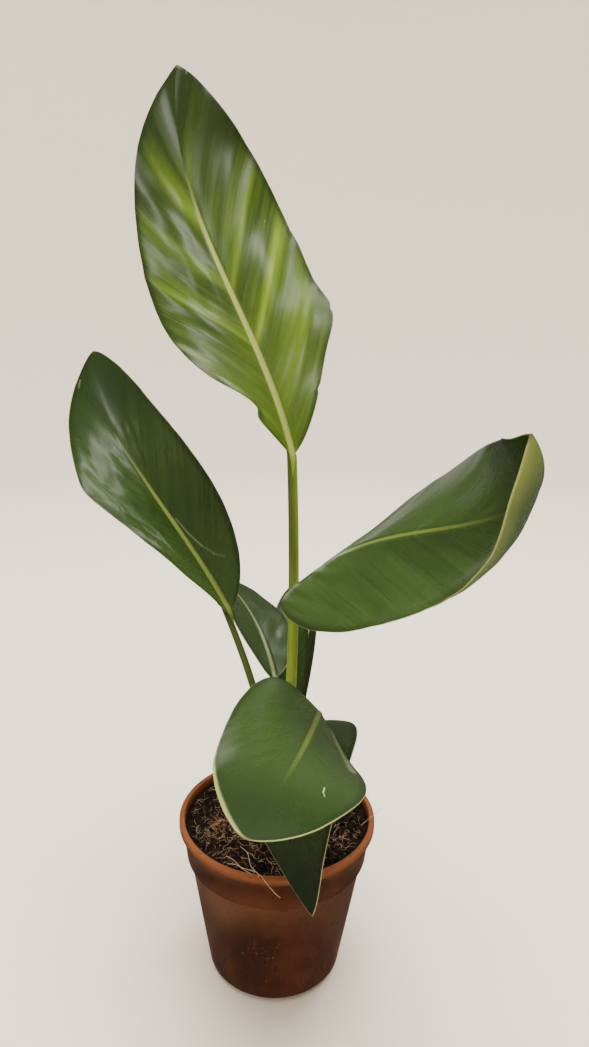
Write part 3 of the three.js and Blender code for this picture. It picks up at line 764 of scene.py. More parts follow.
def wander(points, seed):
    """Smooth random numbers from -1 to 1 at points given as rows of three numbers."""
    shift = Vector((seed * 7.1, seed * 3.3, seed * 5.7))
    return np.array([noise.noise(Vector(p) + shift) for p in points])


# ---------------------------------------------------------------- blades


def stations(values, t):
    """A value given at the base, middle and tip of a blade."""
    base, middle, tip = values
    return base * (1 - t) * (1 - 2 * t) + 4 * middle * t * (1 - t) + tip * t * (2 * t - 1)


def spine_of(leaf, rows, steps=4):
    """Stations along the midrib: their shares, places in millimetres, forward, right and up."""
    compass, climb, roll = (math.radians(turn) for turn in leaf.turn)
    level = np.array([math.cos(compass), math.sin(compass), 0.0])
    forward = level * math.cos(climb) + np.array([0.0, 0.0, math.sin(climb)])
    right = turn_about(np.array([math.sin(compass), -math.cos(compass), 0.0]), forward, -roll)
    place = np.array(leaf.start, float)
    shares = (1 - np.cos(np.pi * np.arange(rows + 1) / rows)) / 2
    found = [(place, forward, right)]
    for before, after in zip(shares[:-1], shares[1:]):
        step = (after - before) / steps
        for i in range(steps):
            t = before + (i + 0.5) * step
            bends = (stations(bend, t) for bend in (leaf.arch, leaf.sway, leaf.twist))
            arch, sway, twist = (math.radians(bend) * step for bend in bends)
            up = np.cross(right, forward)
            ahead = turn_about(turn_about(forward, right, -arch), up, -sway)
            right = turn_about(turn_about(right, up, -sway), ahead, -twist)
            right = unit(right - ahead * np.dot(right, ahead))
            place = place + leaf.length * step * unit(forward + ahead)
            forward = ahead
        found.append((place, forward, right))
    places, forwards, rights = (np.array(v) for v in zip(*found))
    return shares, places, forwards, rights, np.cross(rights, forwards)


def half_width(half, t):
    """Millimetres from the midrib to the margin."""
    rise, fall = half.rise, half.fall
    widest = rise / (rise + fall)
    width = half.width * t**rise * (1 - t) ** fall / (widest**rise * (1 - widest) ** fall)
    for place, spread, bulge in half.bulges:
        width = width + bulge * np.exp(-(((t - place) / spread) ** 2))
    return np.maximum(width, 0)


def crease_of(leaf, t):
    """How steeply the halves rise from the midrib, and how widely that fold is rounded."""
    rises = [np.sin(np.radians(stations(half.fold, t))) for half in (leaf.left, leaf.right)]
    return np.clip(sum(rises) / 2, -0.35, 0.35), ease(1, leaf.soft, t**2)


# How far a margin wanders from its smooth line, and over what length, in millimetres
WANDER = 0.16
WANDER_LENGTH = 6

# The least width of a half, in widths of its midrib, at the base and at the tip. Above 1 no
# two lanes meet, so the surface has a normal everywhere.
LEAST_WIDTH = (1.05, 1.2)


def half_sheet(leaf, half, side, spine, lanes, rib):
    """Points of one half, with their distances from the midrib and the half's widths."""
    t, places, forwards, rights, ups = spine
    width = half_width(half, t)
    wave = wander([(row * leaf.length / WANDER_LENGTH, side, 0) for row in t], half.width)
    width = width + WANDER * np.sqrt(np.clip(width / 12, 0, 1)) * wave
    width = np.maximum(width, rib * ease(*LEAST_WIDTH, t))
    on_rib = rib[:, None] * lanes
    beyond = rib[:, None] + (width - rib)[:, None] * (lanes - 1)
    distance = np.where(lanes <= 1, on_rib, beyond)
    fold = np.radians(stations(half.fold, t))[:, None]
    rate = np.radians(stations(half.curl, t))[:, None] / half.width
    rate = np.where(np.abs(rate) < 1e-6, 1e-6, rate)
    lift = fold + rate * distance
    outward = (np.sin(lift) - np.sin(fold)) / rate
    upward = (np.cos(fold) - np.cos(lift)) / rate
    crease, soft = (part[:, None] for part in crease_of(leaf, t))
    upward = upward + crease * soft * np.exp(-distance / soft)
    height, waves = half.ripple
    ripple = height * np.sin(2 * np.pi * waves * t)[:, None] * (distance / width[:, None]) ** 2
    drawn = half.lobe * ((1 - t) ** 2)[:, None] * distance / half.width
    points = (
        places[:, None]
        + side * outward[..., None] * rights[:, None]
        + (upward + ripple)[..., None] * ups[:, None]
        - drawn[..., None] * forwards[:, None]
    )
    return points, distance, width


# Lanes from the midrib outwards: up to 1 on the midrib, from 1 to 2 on the half.
RIB_LANES = np.array([0.3, 0.55, 0.75, 0.9, 1.0])
HALF_LANES = 1 + np.array([0.02, 0.05, 0.09, *np.linspace(0.14, 0.94, 20), 0.97, 0.99, 1.0])
BLADE_ROWS = 200


# How much more a vein slants at the tip than at the base, and how it bows, per millimetre
VEIN_SLANT = 7.5
VEIN_BOW = 0.008


def vein_slope(start):
    """How far a vein runs towards the tip for each step outwards, by where it starts."""
    return 1 + VEIN_SLANT * np.clip(start, 0, 1) ** 3


def vein_starts(along, outward, midrib):
    """Shares of the midrib's length where the veins through some points leave it."""
    low = np.full(along.shape, -1.0)
    high = np.full(along.shape, 1.0)
    for _ in range(24):
        middle = (low + high) / 2
        reach = midrib * middle + vein_slope(middle) * outward + VEIN_BOW * outward**2
        beyond = reach > along
        high = np.where(beyond, middle, high)
        low = np.where(beyond, low, middle)
    return (low + high) / 2


def vein_places(starts, midrib):
    """Millimetres across the veins, from the vein that leaves at the very base."""
    steps = np.linspace(-1, 1, 401)
    across = midrib / np.sqrt(1 + vein_slope(steps) ** 2)
    strips = (across[1:] + across[:-1]) / 2 * (steps[1] - steps[0])
    total = np.concatenate([[0], np.cumsum(strips)])
    return np.interp(starts, steps, total - np.interp(0, steps, total))


# Rows that close a blade's base, how far below the last of them its width would reach
# nothing, in rows, and the millimetres from a stalk's skin to the middle of its blade
THROAT_ROWS = 7
THROAT_POINT = 0.4
LAMINA_GAP = 0.4


def throat(leaf, settings, row, station):
    """Rows that close the blade's base to a point on the front of its stalk, lowest first."""
    place, _, right, up = station
    points = stalk_path(leaf, settings)(np.linspace(0.7, 1, 120))
    steps = np.linalg.norm(np.diff(points, axis=0), axis=1)
    below = np.concatenate([np.cumsum(steps[::-1])[::-1], [0]])
    radius = leaf.girth * settings.stalk_tip / MM

    def stalk_at(drop):
        return np.array([np.interp(-drop, -below, points[:, k]) for k in range(3)])

    offsets = row - place
    rows = []
    for i in range(THROAT_ROWS, 0, -1):
        drop = leaf.throat * i / THROAT_ROWS
        centre = stalk_at(drop)
        ahead = unit(stalk_at(drop - 0.5) - centre)
        sideways = unit(right - ahead * np.dot(right, ahead))
        upward = np.cross(sideways, ahead)
        close = 1 - i / (THROAT_ROWS + THROAT_POINT)
        wide = offsets @ right * close
        high = offsets @ up * close**1.5 - wide**2 / (2 * radius) * (1 - close)
        base = centre + upward * (radius + LAMINA_GAP)
        rows.append(base + wide[:, None] * sideways + high[:, None] * upward)
    return np.array(rows)


def blade_sheet(leaf, settings):
    """The middle surface of a blade as a grid, with what its finish needs at each point."""
    spine = spine_of(leaf, BLADE_ROWS, 2)
    t, places, _, _, ups = spine
    rib = ease(settings.rib_base, settings.rib_tip, t) / MM
    rib = rib * np.sqrt(np.clip((1 - t) / 0.06, 0.01, 1)) * ease(0.7, 1, np.clip(t / 0.03, 0, 1))
    lanes = np.concatenate([RIB_LANES, HALF_LANES])
    left, left_out, left_width = half_sheet(leaf, leaf.left, -1, spine, lanes, rib)
    right, right_out, right_width = half_sheet(leaf, leaf.right, 1, spine, lanes, rib)
    crease, soft = crease_of(leaf, t)
    middle = places + (crease * soft)[:, None] * ups
    grid = np.concatenate([left[:, ::-1], middle[:, None], right], axis=1)
    for _ in range(leaf.relax):
        grid[1:-1] = (grid[:-2] + 2 * grid[1:-1] + grid[2:]) / 4
    many = len(lanes)
    outward = np.concatenate([left_out[:, ::-1], np.zeros((len(t), 1)), right_out], axis=1)
    widths = [left_width] * many + [(left_width + right_width) / 2] + [right_width] * many
    width = np.stack(widths, axis=1)

    # The rows of the throat go before the others
    closing = throat(leaf, settings, grid[0], [part[0] for part in spine[1:]])
    drops = np.arange(THROAT_ROWS, 0, -1)
    fade = 1 - drops[:, None] / (THROAT_ROWS + THROAT_POINT)
    grid = np.concatenate([closing, grid])
    outward = np.concatenate([outward[:1] * fade, outward])
    width = np.concatenate([width[:1] * fade, width])
    t = np.concatenate([-drops / THROAT_ROWS * leaf.throat / leaf.length, t])
    rib = np.concatenate([rib[:1].repeat(THROAT_ROWS), rib])

    side = np.array([-1.0] * many + [0.0] + [1.0] * many)[None, :]
    along = np.repeat(t[:, None], grid.shape[1], 1)
    starts = vein_starts(along * leaf.length, outward, leaf.length)
    return {
        "grid": grid,
        "along": along,
        "across": side * outward / width,
        "outward": outward,
        "signed": side * outward,
        "vein": vein_places(starts, leaf.length),
        "rib": outward / rib[:, None],
        "rim": width - outward,
    }


def grid_normals(grid):
    return unit(np.cross(np.gradient(grid, axis=1), np.gradient(grid, axis=0)))


def relief(leaf, sheet, seed):
    """Height in millimetres of the waves along the veins and of the wrinkled patches."""
    along, across, vein, signed = (sheet[key] for key in ("along", "across", "vein", "signed"))

    def waves(*place):
        return wander(np.stack(place, -1).reshape(-1, 3), seed).reshape(vein.shape)

    off_rib = np.clip(np.maximum((sheet["rib"] - 1) / 3, (along - 0.6) / 0.15), 0, 1)
    height = 2 * leaf.pleats * waves(vein / 5.5, signed / 40, 0 * along)
    for middle, lane, reach_along, reach_across, rise, size, stretch in leaf.wrinkles:
        far = ((along - middle) / reach_along) ** 2 + ((across - lane) / reach_across) ** 2
        lumps = waves(vein / size, signed / size / stretch, 0 * far + size)
        height = height + rise * np.exp(-(far**2)) * lumps
    return height * off_rib


def streak_strength(leaf, sheet):
    """How strongly the bright streaks of painted light show, from 0 to 1."""
    total = np.zeros(sheet["vein"].shape)
    for side, start, width, strength in leaf.streaks:
        middle = vein_places(start, leaf.length)
        band = np.exp(-(((sheet["vein"] - middle) / width) ** 2)) * (sheet["signed"] * side > 0)
        reach = np.clip(sheet["outward"] / 2, 0, 1) * np.clip(sheet["rim"] / 9, 0, 1)
        total = total + strength * band * reach
    return np.clip(total, 0, 1)


def shell_faces(rows, lanes):
    """Faces of a thin shell: its upper grid, its lower one and the margin that joins them."""
    under = rows * lanes
    faces = []
    for row in range(rows - 1):
        for a in range(row * lanes, row * lanes + lanes - 1):
            faces.append((a, a + 1, a + lanes + 1, a + lanes))
            faces.append((under + a, under + a + lanes, under + a + lanes + 1, under + a + 1))
    rim = [
        *range(lanes - 1),
        *(row * lanes + lanes - 1 for row in range(rows - 1)),
        *((rows - 1) * lanes + lane for lane in range(lanes - 1, 0, -1)),
        *(row * lanes for row in range(rows - 1, 0, -1)),
    ]
    faces += [(a, under + a, under + b, b) for a, b in zip(rim, rim[1:] + rim[:1])]
    return faces


def add_blade(leaf, settings, seed):
    """A blade as a closed shell: grooved above its midrib and keeled below it."""
    sheet = blade_sheet(leaf, settings)
    grid = sheet["grid"]
    normals = grid_normals(grid)
    t = np.clip(sheet["along"], 0, 1)
    height = relief(leaf, sheet, seed)
    grown = np.clip(t / 0.04, 0, 1)
    groove = settings.groove / MM * np.clip(1 - t / 0.7, 0, 1) * grown
    groove = groove * np.clip(1 - sheet["rib"] ** 2, 0, 1)
    keel = ease(settings.keel_base, settings.keel_tip, t**0.6) / MM * grown
    keel = keel * np.clip(1 - (sheet["rib"] / 1.25) ** 2, 0, 1) ** 0.8
    thinned = np.clip(1 - sheet["rim"] / 4, 0, 1) ** 2
    body = ease(settings.thickness, settings.margin, thinned) / MM
    body = body * np.sqrt(np.clip(sheet["rim"] / 0.25, 0.15, 1))
    upper = grid + normals * (height + body / 2 - groove)[..., None]
    lower = grid + normals * (height - body / 2 - keel)[..., None]
    points = np.concatenate([upper.reshape(-1, 3), lower.reshape(-1, 3)]) * MM

    base, tip, _, taper = leaf.rib
    sheet["midrib"] = sheet["outward"] / ease(tip, base, (1 - t) ** taper)
    sheet["streak"] = streak_strength(leaf, sheet)
    left, right, _ = leaf.margin
    edges = np.where(sheet["signed"] < 0, ease(*left, t**3), ease(*right, t**3))
    sheet["edge"] = sheet["rim"] / edges
    values = {key: np.tile(sheet[key].ravel(), 2) for key in BLADE_FIELDS if key in sheet}
    values["upper"] = np.repeat([1.0, 0.0], t.size)
    piece = add_piece(f"{leaf.name}_lamina", points, shell_faces(*t.shape), values)
    return dress(piece, [blade_finish(leaf, settings, seed)], [f"{leaf.name}_blade"])


# ---------------------------------------------------------------- stalks


# Height of the stalks' roots in millimetres
CROWN_FOOT = 62

# How a stalk runs out under its blade: over what share of the midrib, how deep below it, and
# how thick it is at its end, in millimetres
TAIL_SHARE = 0.07
TAIL_DEPTH = 1.7
TAIL_RADIUS = 0.9


def stalk_path(leaf, settings):
    """A function that gives the stalk's points in millimetres, for shares from crown to blade."""
    _, places, _, _, ups = spine_of(leaf, 1)
    end = places[0] - ups[0] * (LAMINA_GAP + leaf.girth * settings.stalk_tip / MM)
    root = np.array([*leaf.stalk.root, CROWN_FOOT], float)
    low, high = (np.array(point, float) for point in (leaf.stalk.low, leaf.stalk.high))

    def at(share):
        share = np.asarray(share, float)[:, None]
        rest = 1 - share
        bend = 3 * rest**2 * share * low + 3 * rest * share**2 * high
        return rest**3 * root + bend + share**3 * end

    return at


def share_at(path, height):
    """Where a path that only climbs passes a height."""
    shares = np.linspace(0, 1, 2001)
    return float(np.interp(height, path(shares)[:, 2], shares))


def tube(centres, radii, sides):
    """Points and faces of a closed round tube, and shares of a turn from +Y by way of -X."""
    ahead = unit(np.gradient(centres, axis=0))
    across = unit(np.cross(np.array([0.0, 1.0, 0.0]), ahead))
    upward = np.cross(ahead, across)
    turns = np.arange(sides) * 2 * np.pi / sides
    reach = (
        np.cos(turns)[None, :, None] * upward[:, None]
        - np.sin(turns)[None, :, None] * across[:, None]
    )
    radii = np.broadcast_to(radii, len(centres))[:, None, None]
    points = (centres[:, None] + radii * reach).reshape(-1, 3)
    faces = []
    for ring in range(0, (len(centres) - 1) * sides, sides):
        for k in range(sides):
            a, b = ring + k, ring + (k + 1) % sides
            faces.append((a, b, b + sides, a + sides))
    faces.append(tuple(range(sides - 1, -1, -1)))
    faces.append(tuple(range(len(points) - sides, len(points))))
    return points, faces, np.tile(turns / (2 * np.pi), len(centres))


def stalk_radius(leaf, share, neck, settings):
    """A stalk's radius in millimetres: its sheath up to the neck, then the stalk itself."""
    base = settings.stalk_base / MM
    middle = leaf.girth * settings.stalk_neck / MM
    tip = leaf.girth * settings.stalk_tip / MM
    sheath = ease(base, middle, share / neck)
    return np.where(share < neck, sheath, ease(middle, tip, (share - neck) / (1 - neck)))


def add_stalk(leaf, settings, material):
    """A stalk from its sheath to the blade, with the tail that runs out under the midrib."""
    path = stalk_path(leaf, settings)
    neck = share_at(path, leaf.stalk.neck)
    shares = np.linspace(share_at(path, leaf.stalk.neck - 1), 1, 70)
    along, places, _, _, ups = spine_of(leaf, 60, 2)
    under = (along > 0.005) & (along < TAIL_SHARE)
    merge = (along[under] / TAIL_SHARE)[:, None]
    tip = leaf.girth * settings.stalk_tip / MM
    tail = places[under] - ups[under] * ease(tip + LAMINA_GAP, TAIL_DEPTH, merge)
    centres = np.concatenate([path(shares), tail])
    radii = [stalk_radius(leaf, shares, neck, settings), ease(tip, TAIL_RADIUS, merge[:, 0])]
    points, faces, around = tube(centres, np.concatenate(radii), 24)
    piece = add_piece(f"{leaf.name}_petiole", points * MM, faces, {"around": around})
    return dress(piece, [material], [f"{leaf.name}_stalk"])


# ---------------------------------------------------------------- pot and soil


def arc(centre, radius, start, end, steps):
    """Points on part of a circle in the profile's plane, from one angle in degrees to another."""
    turns = np.radians(np.linspace(start, end, steps + 1))
    return [(centre[0] + radius * math.cos(a), centre[1] + radius * math.sin(a)) for a in turns]


def lathe(profile, sides):
    """Points and faces of a profile turned about Z: (radius, height) pairs from axis to axis."""
    turns = np.arange(sides) * 2 * np.pi / sides
    ring = profile[1:-1]
    points = [(0, 0, profile[0][1])]
    for radius, height in ring:
        points += [(radius * math.cos(a), radius * math.sin(a), height) for a in turns]
    points.append((0, 0, profile[-1][1]))
    faces = []
    last = len(points) - 1
    for k in range(sides):
        n = (k + 1) % sides
        faces.append((0, 1 + n, 1 + k))
        for i in range(len(ring) - 1):
            a = 1 + i * sides
            faces.append((a + k, a + n, a + sides + n, a + sides + k))
        top = 1 + (len(ring) - 1) * sides
        faces.append((top + k, top + n, last))
    return points, faces


def cut(piece, cutter):
    """Takes one mesh away from another."""
    modifier = piece.modifiers.new("cut", "BOOLEAN")
    modifier.operation = "DIFFERENCE"
    modifier.solver = "EXACT"
    modifier.object = cutter
    bpy.context.view_layer.objects.active = piece
    bpy.ops.object.modifier_apply(modifier=modifier.name)
    bpy.data.objects.remove(cutter)


def pot_profile(s):
    """The pot's section from the middle of its underside round to the middle of its floor."""
    collar_foot = s.height - s.collar_height
    lip_foot = s.height - s.lip_height
    inner_foot = s.foot_radius - s.foot_width
    edge = s.lip_edge / 2
    collar_at_lip = ease(s.collar_bottom, s.collar_top, 1 - s.lip_height / s.collar_height)
    mouth = s.collar_top - s.wall
    shoulder = collar_foot + s.wall
    return [
        (0, 0),
        (s.pad_radius, 0),
        (s.pad_radius + 1 * MM, s.channel),
        (inner_foot - 1 * MM, s.channel),
        *arc((inner_foot + edge, edge), edge, 180, 270, 3),
        *arc((s.foot_radius - edge, edge), edge, -90, 0, 4),
        (s.foot_radius, s.foot_height),
        *arc((s.body_bottom - edge, s.foot_height + edge), edge, -90, 0, 4),
        (s.body_top, collar_foot),
        *arc((s.collar_bottom - edge, collar_foot + edge), edge, -90, 0, 5),
        (collar_at_lip, lip_foot),
        *arc((s.lip_radius - edge, lip_foot + edge), edge, -90, 0, 5),
        *arc((s.lip_radius - s.lip_edge, s.height - s.lip_edge), s.lip_edge, 0, 90, 6),
        *arc((mouth + edge, s.height - edge), edge, 90, 180, 5),
        (ease(s.collar_bottom, s.collar_top, s.wall / s.collar_height) - s.wall, shoulder),
        (s.body_top - s.wall, shoulder - edge),
        (s.body_bottom - s.wall, s.foot_height + s.floor),
        (s.foot_radius - s.wall, s.foot_height + s.floor),
        (inner_foot, s.channel + s.floor),
        (0, s.channel + s.floor),
    ]


# How far a cutter for a drain hole or a notch reaches through the pot
CUTTER_DEPTH = 20 * MM


class PLANT_OT_pot(bpy.types.Operator):
    """Moulded nursery pot with a rolled lip, a collar, a foot ring and drain holes"""

    bl_idname = "plant.pot"
    bl_label = "Pot"

    def execute(self, context):
        s = context.scene.plant_pot
        points, faces = lathe(pot_profile(s), 192)
        piece = add_piece("nursery_pot", points, faces)
        for i in range(s.drains):
            turn = Matrix.Rotation((i + 0.5) / s.drains * 2 * math.pi, 4, "Z")
            bpy.ops.mesh.primitive_cylinder_add(
                vertices=32, radius=s.drain_radius, depth=CUTTER_DEPTH
            )
            hole = context.object
            hole.matrix_world = turn @ Matrix.Translation((s.drain_circle, 0, 0))
            cut(piece, hole)
            bpy.ops.mesh.primitive_cube_add(size=1)
            notch = context.object
            ring = Matrix.Translation((s.foot_radius - s.foot_width / 2, 0, 0))
            size = Matrix.Diagonal((CUTTER_DEPTH, s.notch, 2 * s.channel, 1))
            notch.matrix_world = turn @ ring @ size
            cut(piece, notch)
        dress(piece, [pot_finish(s)], ["pot"])
        return {"FINISHED"}


def soil_height(x, y, s, pot):
    """Height of the soil's even surface."""
    share = math.hypot(x, y) / pot.lip_radius
    px, py = x / MM, y / MM
    lumps = (
        0.35 * math.sin(0.31 * px + 0.27 * py + 1.3)
        + 0.35 * math.sin(0.31 * px - 0.27 * py + 1.3)
        + 0.42 * math.sin(-0.41 * px + 0.53 * py)
    )
    return s.edge_height + s.mound * (1 - share * share) + lumps * MM


def ground(x, y, s, pot):
    """Height of the loose surface, whose lumps and pits fade at the pot's wall."""
    fade = min(1, (s.radius - math.hypot(x, y)) / (2 * MM))
    lumps = noise.fractal(Vector((x, y, 0)) * 210, 0.7, 2.1, 4)
    pits = noise.noise(Vector((x, y, 4)) * 620)
    return soil_height(x, y, s, pot) + fade * (1.3 * MM * lumps + 0.45 * MM * pits)


def scattered(rng, radius):
    """A random place on a disc."""
    distance = radius * math.sqrt(rng.random())
    heading = rng.uniform(0, 2 * math.pi)
    return distance * math.cos(heading), distance * math.sin(heading)


# Least and most of a crumb's stretch across, along and upwards
CRUMB_STRETCH = ((0.7, 1.5), (0.7, 1.3), (0.5, 0.9))

# The middle of a tuft of coir. Long fibres that reach the lip or hang over it, each as points
# in millimetres, and how thick they are.
TUFT = Vector((-32.4 * MM, -8.6 * MM))
STRAND_RADIUS = 0.13 * MM
STRANDS = (
    (
        (-25, -33, 87.3), (-20.5, -37, 88.1), (-17.5, -41.8, 87.8), (-10.5, -46.6, 90.0),
        (-7.1, -50.4, 90.4), (-6.1, -51.9, 90.2), (-5.1, -52.8, 89.3), (-3.6, -53.1, 87.4),
        (-1.1, -53.1, 84), (1.2, -53, 81.3), (2.4, -52.9, 80.3),
    ),
    (
        (-18.5, -26, 87.6), (-14.3, -31.2, 88.2), (-12.6, -41.3, 88.4), (-8.6, -49.0, 90.4),
        (-8.2, -51.4, 90.3),
    ),
    ((-24, -39, 87.8), (-19, -41.5, 89.2), (-15.5, -44.9, 89.0), (-11.5, -49.3, 90.3)),
    ((45, -7, 87.2), (50, -4.5, 90.1), (53.9, -1, 90.8), (57.5, 3.4, 91.2)),
)


class PLANT_OT_soil(bpy.types.Operator):
    """Potting soil with its loose crumbs and coir fibres"""

    bl_idname = "plant.soil"
    bl_label = "Soil"

    def execute(self, context):
        s = context.scene.plant_soil
        pot = context.scene.plant_pot
        self.bed(s, pot)
        self.crumbs(s, pot)
        self.fibres(s, pot)
        return {"FINISHED"}

    def bed(self, s, pot):
        """The soil as one body that fills the pot."""
        low = SOIL_LOW.z
        rings = 90
        profile = [
            (0, low),
            (pot.foot_radius - pot.foot_width, low),
            (pot.body_bottom - 2 * pot.wall, low + 4 * MM),
            (pot.body_top - pot.wall - 0.6 * MM, pot.height - pot.collar_height + pot.wall),
            *((s.radius * (1 - i / rings), s.edge_height) for i in range(rings)),
            (0, s.edge_height),
        ]
        points, faces = lathe(profile, 220)
        top = s.edge_height - 1e-6
        shaped = [(x, y, ground(x, y, s, pot) if z >= top else z) for x, y, z in points]
        piece = add_piece("soil_bed", shaped, faces)
        dress(piece, [soil_finish(s)], ["soil"])

    def crumbs(self, s, pot):
        """Small rough lumps scattered over the surface."""
        rng = random.Random(11)
        shape = bmesh.new()
        bmesh.ops.create_icosphere(shape, subdivisions=2, radius=1)
        ball = [v.co.copy() for v in shape.verts]
        ball_faces = [[v.index for v in f.verts] for f in shape.faces]
        shape.free()
        heap = Heap()
        for i in range(s.crumbs):
            x, y = scattered(rng, s.radius - 2 * MM)
            size = rng.uniform(0.35, 1) ** 2 * 1.1 * MM
            z = ground(x, y, s, pot) + 0.2 * size
            stretch = Vector([rng.uniform(*limits) for limits in CRUMB_STRETCH])
            turn = Matrix.Rotation(rng.uniform(0, 6.28), 3, "Z")
            turn = turn @ Matrix.Rotation(rng.uniform(-0.6, 0.6), 3, "X")
            points = []
            for p in ball:
                rough = 1 + 0.75 * noise.noise(p * 2.3 + Vector((i, 0, 0)))
                q = turn @ (p * stretch) * size * rough
                points.append((x + q.x, y + q.y, z + q.z))
            heap.add(points, ball_faces, rng.random())
        piece = add_piece("soil_crumbs", heap.points, heap.faces, {"tint": heap.values})
        dress(piece, [crumb_finish(s)])

    def fibres(self, s, pot):
        """Short stiff fibres that lie on the soil, some in a tuft of coir, and the long ones."""
        rng = random.Random(5)
        heap = Heap()
        for i in range(s.fibres):
            in_tuft = i % 9 == 0
            if in_tuft:
                x = TUFT.x + rng.gauss(0, 3.2 * MM)
                y = TUFT.y + rng.gauss(0, 4.2 * MM)
            else:
                x, y = scattered(rng, s.radius - 3 * MM)
            reach = rng.uniform(1.5, 6) * MM * (0.8 if in_tuft else 1)
            if rng.random() < 0.12 and not in_tuft:
                reach *= 1.8
            heading = rng.uniform(0, 2 * math.pi)
            bow = rng.gauss(0, 0.5 if in_tuft else 0.3)
            lean = rng.uniform(-0.1, 0.3)
            shares = np.linspace(-0.5, 0.5, 9)
            line = []
            for share in shares:
                turned = heading + bow * share * 2
                px = x + reach * share * math.cos(turned)
                py = y + reach * share * math.sin(turned)
                keep = min(1, (s.radius - 1 * MM) / math.hypot(px, py))
                px, py = px * keep, py * keep
                rise = 0.4 * MM + lean * reach * (share + 0.5)
                line.append((px, py, ground(px, py, s, pot) + rise))
            radii = rng.uniform(0.04, 0.09) * MM * (1 - 0.6 * np.abs(shares * 2) ** 2)
            points, faces, _ = tube(np.array(line), radii, 5)
            heap.add(points, faces, rng.uniform(0, 0.3) if in_tuft else rng.random() ** 0.8)
        for strand in STRANDS:
            bends = np.array(strand) * MM
            steps = np.linspace(0, len(bends) - 1, 6 * len(bends))
            line = [np.interp(steps, range(len(bends)), bends[:, k]) for k in range(3)]
            line = np.stack(line, axis=1)
            for _ in range(4):
                line[1:-1] = (line[:-2] + 2 * line[1:-1] + line[2:]) / 4
            points, faces, _ = tube(line, STRAND_RADIUS, 6)
            heap.add(points, faces, 0.75)
        piece = add_piece("coir_fibres", heap.points, heap.faces, {"tint": heap.values})
        dress(piece, [fibre_finish(s)])


class PLANT_OT_crown(bpy.types.Operator):
    """Root crown with the leaf sheaths grown together"""

    bl_idname = "plant.crown"
    bl_label = "Crown"

    def execute(self, context):
        settings = context.scene.plant_leaf
        kinds = list(LEAF_KINDS)
        heap, slots = Heap(), []
        for leaf in LEAVES:
            path = stalk_path(leaf, settings)
            neck = share_at(path, leaf.stalk.neck)
            shares = np.linspace(0.02, neck, 30)
            radii = stalk_radius(leaf, shares, neck, settings)
            points, faces, around = tube(path(shares), radii, 24)
            heap.add(points * MM, faces, around)
            slots += [kinds.index(leaf.stalk.finish)] * len(faces)
        piece = add_piece("leaf_sheaths", heap.points, heap.faces, {"around": heap.values})
        materials = [bpy.data.materials[f"{kind}_stalk"] for kind in kinds]
        dress(piece, materials, ["crown"])
        piece.data.polygons.foreach_set("material_index", slots)
        return {"FINISHED"}


class PLANT_OT_stalks(bpy.types.Operator):
    """Leaf stalks, one for each leaf"""

    bl_idname = "plant.stalks"
    bl_label = "Stalks"

    def execute(self, context):
        settings = context.scene.plant_leaf
        finishes = {kind: stalk_finish(kind) for kind in LEAF_KINDS}
        for leaf in LEAVES:
            add_stalk(leaf, settings, finishes[leaf.stalk.finish])
        return {"FINISHED"}


class PLANT_OT_blades(bpy.types.Operator):
    """Leaf blades, one for each leaf"""

    bl_idname = "plant.blades"
    bl_label = "Blades"

    def execute(self, context):
        settings = context.scene.plant_leaf
        for seed, leaf in enumerate(LEAVES, 1):
            add_blade(leaf, settings, seed)
        return {"FINISHED"}


# ---------------------------------------------------------------- studio


LAMP_TONE = (1.0, 0.95, 0.87)
SKY_TONE = (1.0, 0.93, 0.82, 1)
SKY_STRENGTH = 0.18

# What the lamps face, and each lamp: name, place, target, width, height, power, and the kinds
# of ray that don't meet it
PLANT_MIDDLE = (0, 0, 0.3)
PLANT_LOW = (0, 0, 0.25)
LAMPS = (
    ("ceiling_light", (0, 0.2, 2.3), PLANT_MIDDLE, 1.9, 1.9, 112, ("glossy",)),
    ("ceiling_lamp", (-0.05, 0.0, 2.3), PLANT_MIDDLE, 0.9, 0.9, 20, ()),
    ("front_lamp", (-0.03, -0.8, 1.79), PLANT_MIDDLE, 0.5, 0.3, 8, ()),
    ("back_lamp", (0.82, 0.82, 1.68), PLANT_MIDDLE, 0.6, 0.9, 14, ()),
    ("side_lamp", (-1.02, -0.75, 1.16), PLANT_MIDDLE, 0.3, 0.3, 4, ()),
    ("low_glow", (-0.44, 1.21, 0.43), PLANT_LOW, 0.55, 0.4, 1.0, ("camera", "diffuse")),
    ("high_glow", (0.15, 1.07, 0.93), PLANT_LOW, 0.3, 0.15, 0.2, ("camera", "diffuse")),
)


def add_lamp(name, place, target, width, height, power, unmet):
    """A soft rectangular lamp that faces a point."""
    lamp = bpy.data.lights.new(name, "AREA")
    lamp.shape = "RECTANGLE"
    lamp.size = width
    lamp.size_y = height
    lamp.energy = power
    lamp.color = LAMP_TONE
    made = bpy.data.objects.new(name, lamp)
    made.location = place
    made.rotation_euler = (Vector(target) - Vector(place)).to_track_quat("-Z", "Y").to_euler()
    for ray in unmet:
        setattr(made, f"visible_{ray}", False)
    bpy.context.scene.collection.objects.link(made)


def camera_matrix(s):
    """The camera's place and turn in the plant's frame."""
    yaw, pitch, roll = s.camera_yaw, s.camera_pitch, s.camera_roll
    level = Vector((-math.sin(yaw), math.cos(yaw), 0))
    ahead = level * math.cos(pitch) - Vector((0, 0, math.sin(pitch)))
    right = Vector((math.cos(yaw), math.sin(yaw), 0))
    up = right.cross(ahead)
    leaned_right = right * math.cos(roll) + up * math.sin(roll)
    leaned_up = up * math.cos(roll) - right * math.sin(roll)
    turn = Matrix((leaned_right, leaned_up, -ahead)).transposed().to_4x4()
    return Matrix.Translation((0, -s.camera_distance, s.camera_height)) @ turn


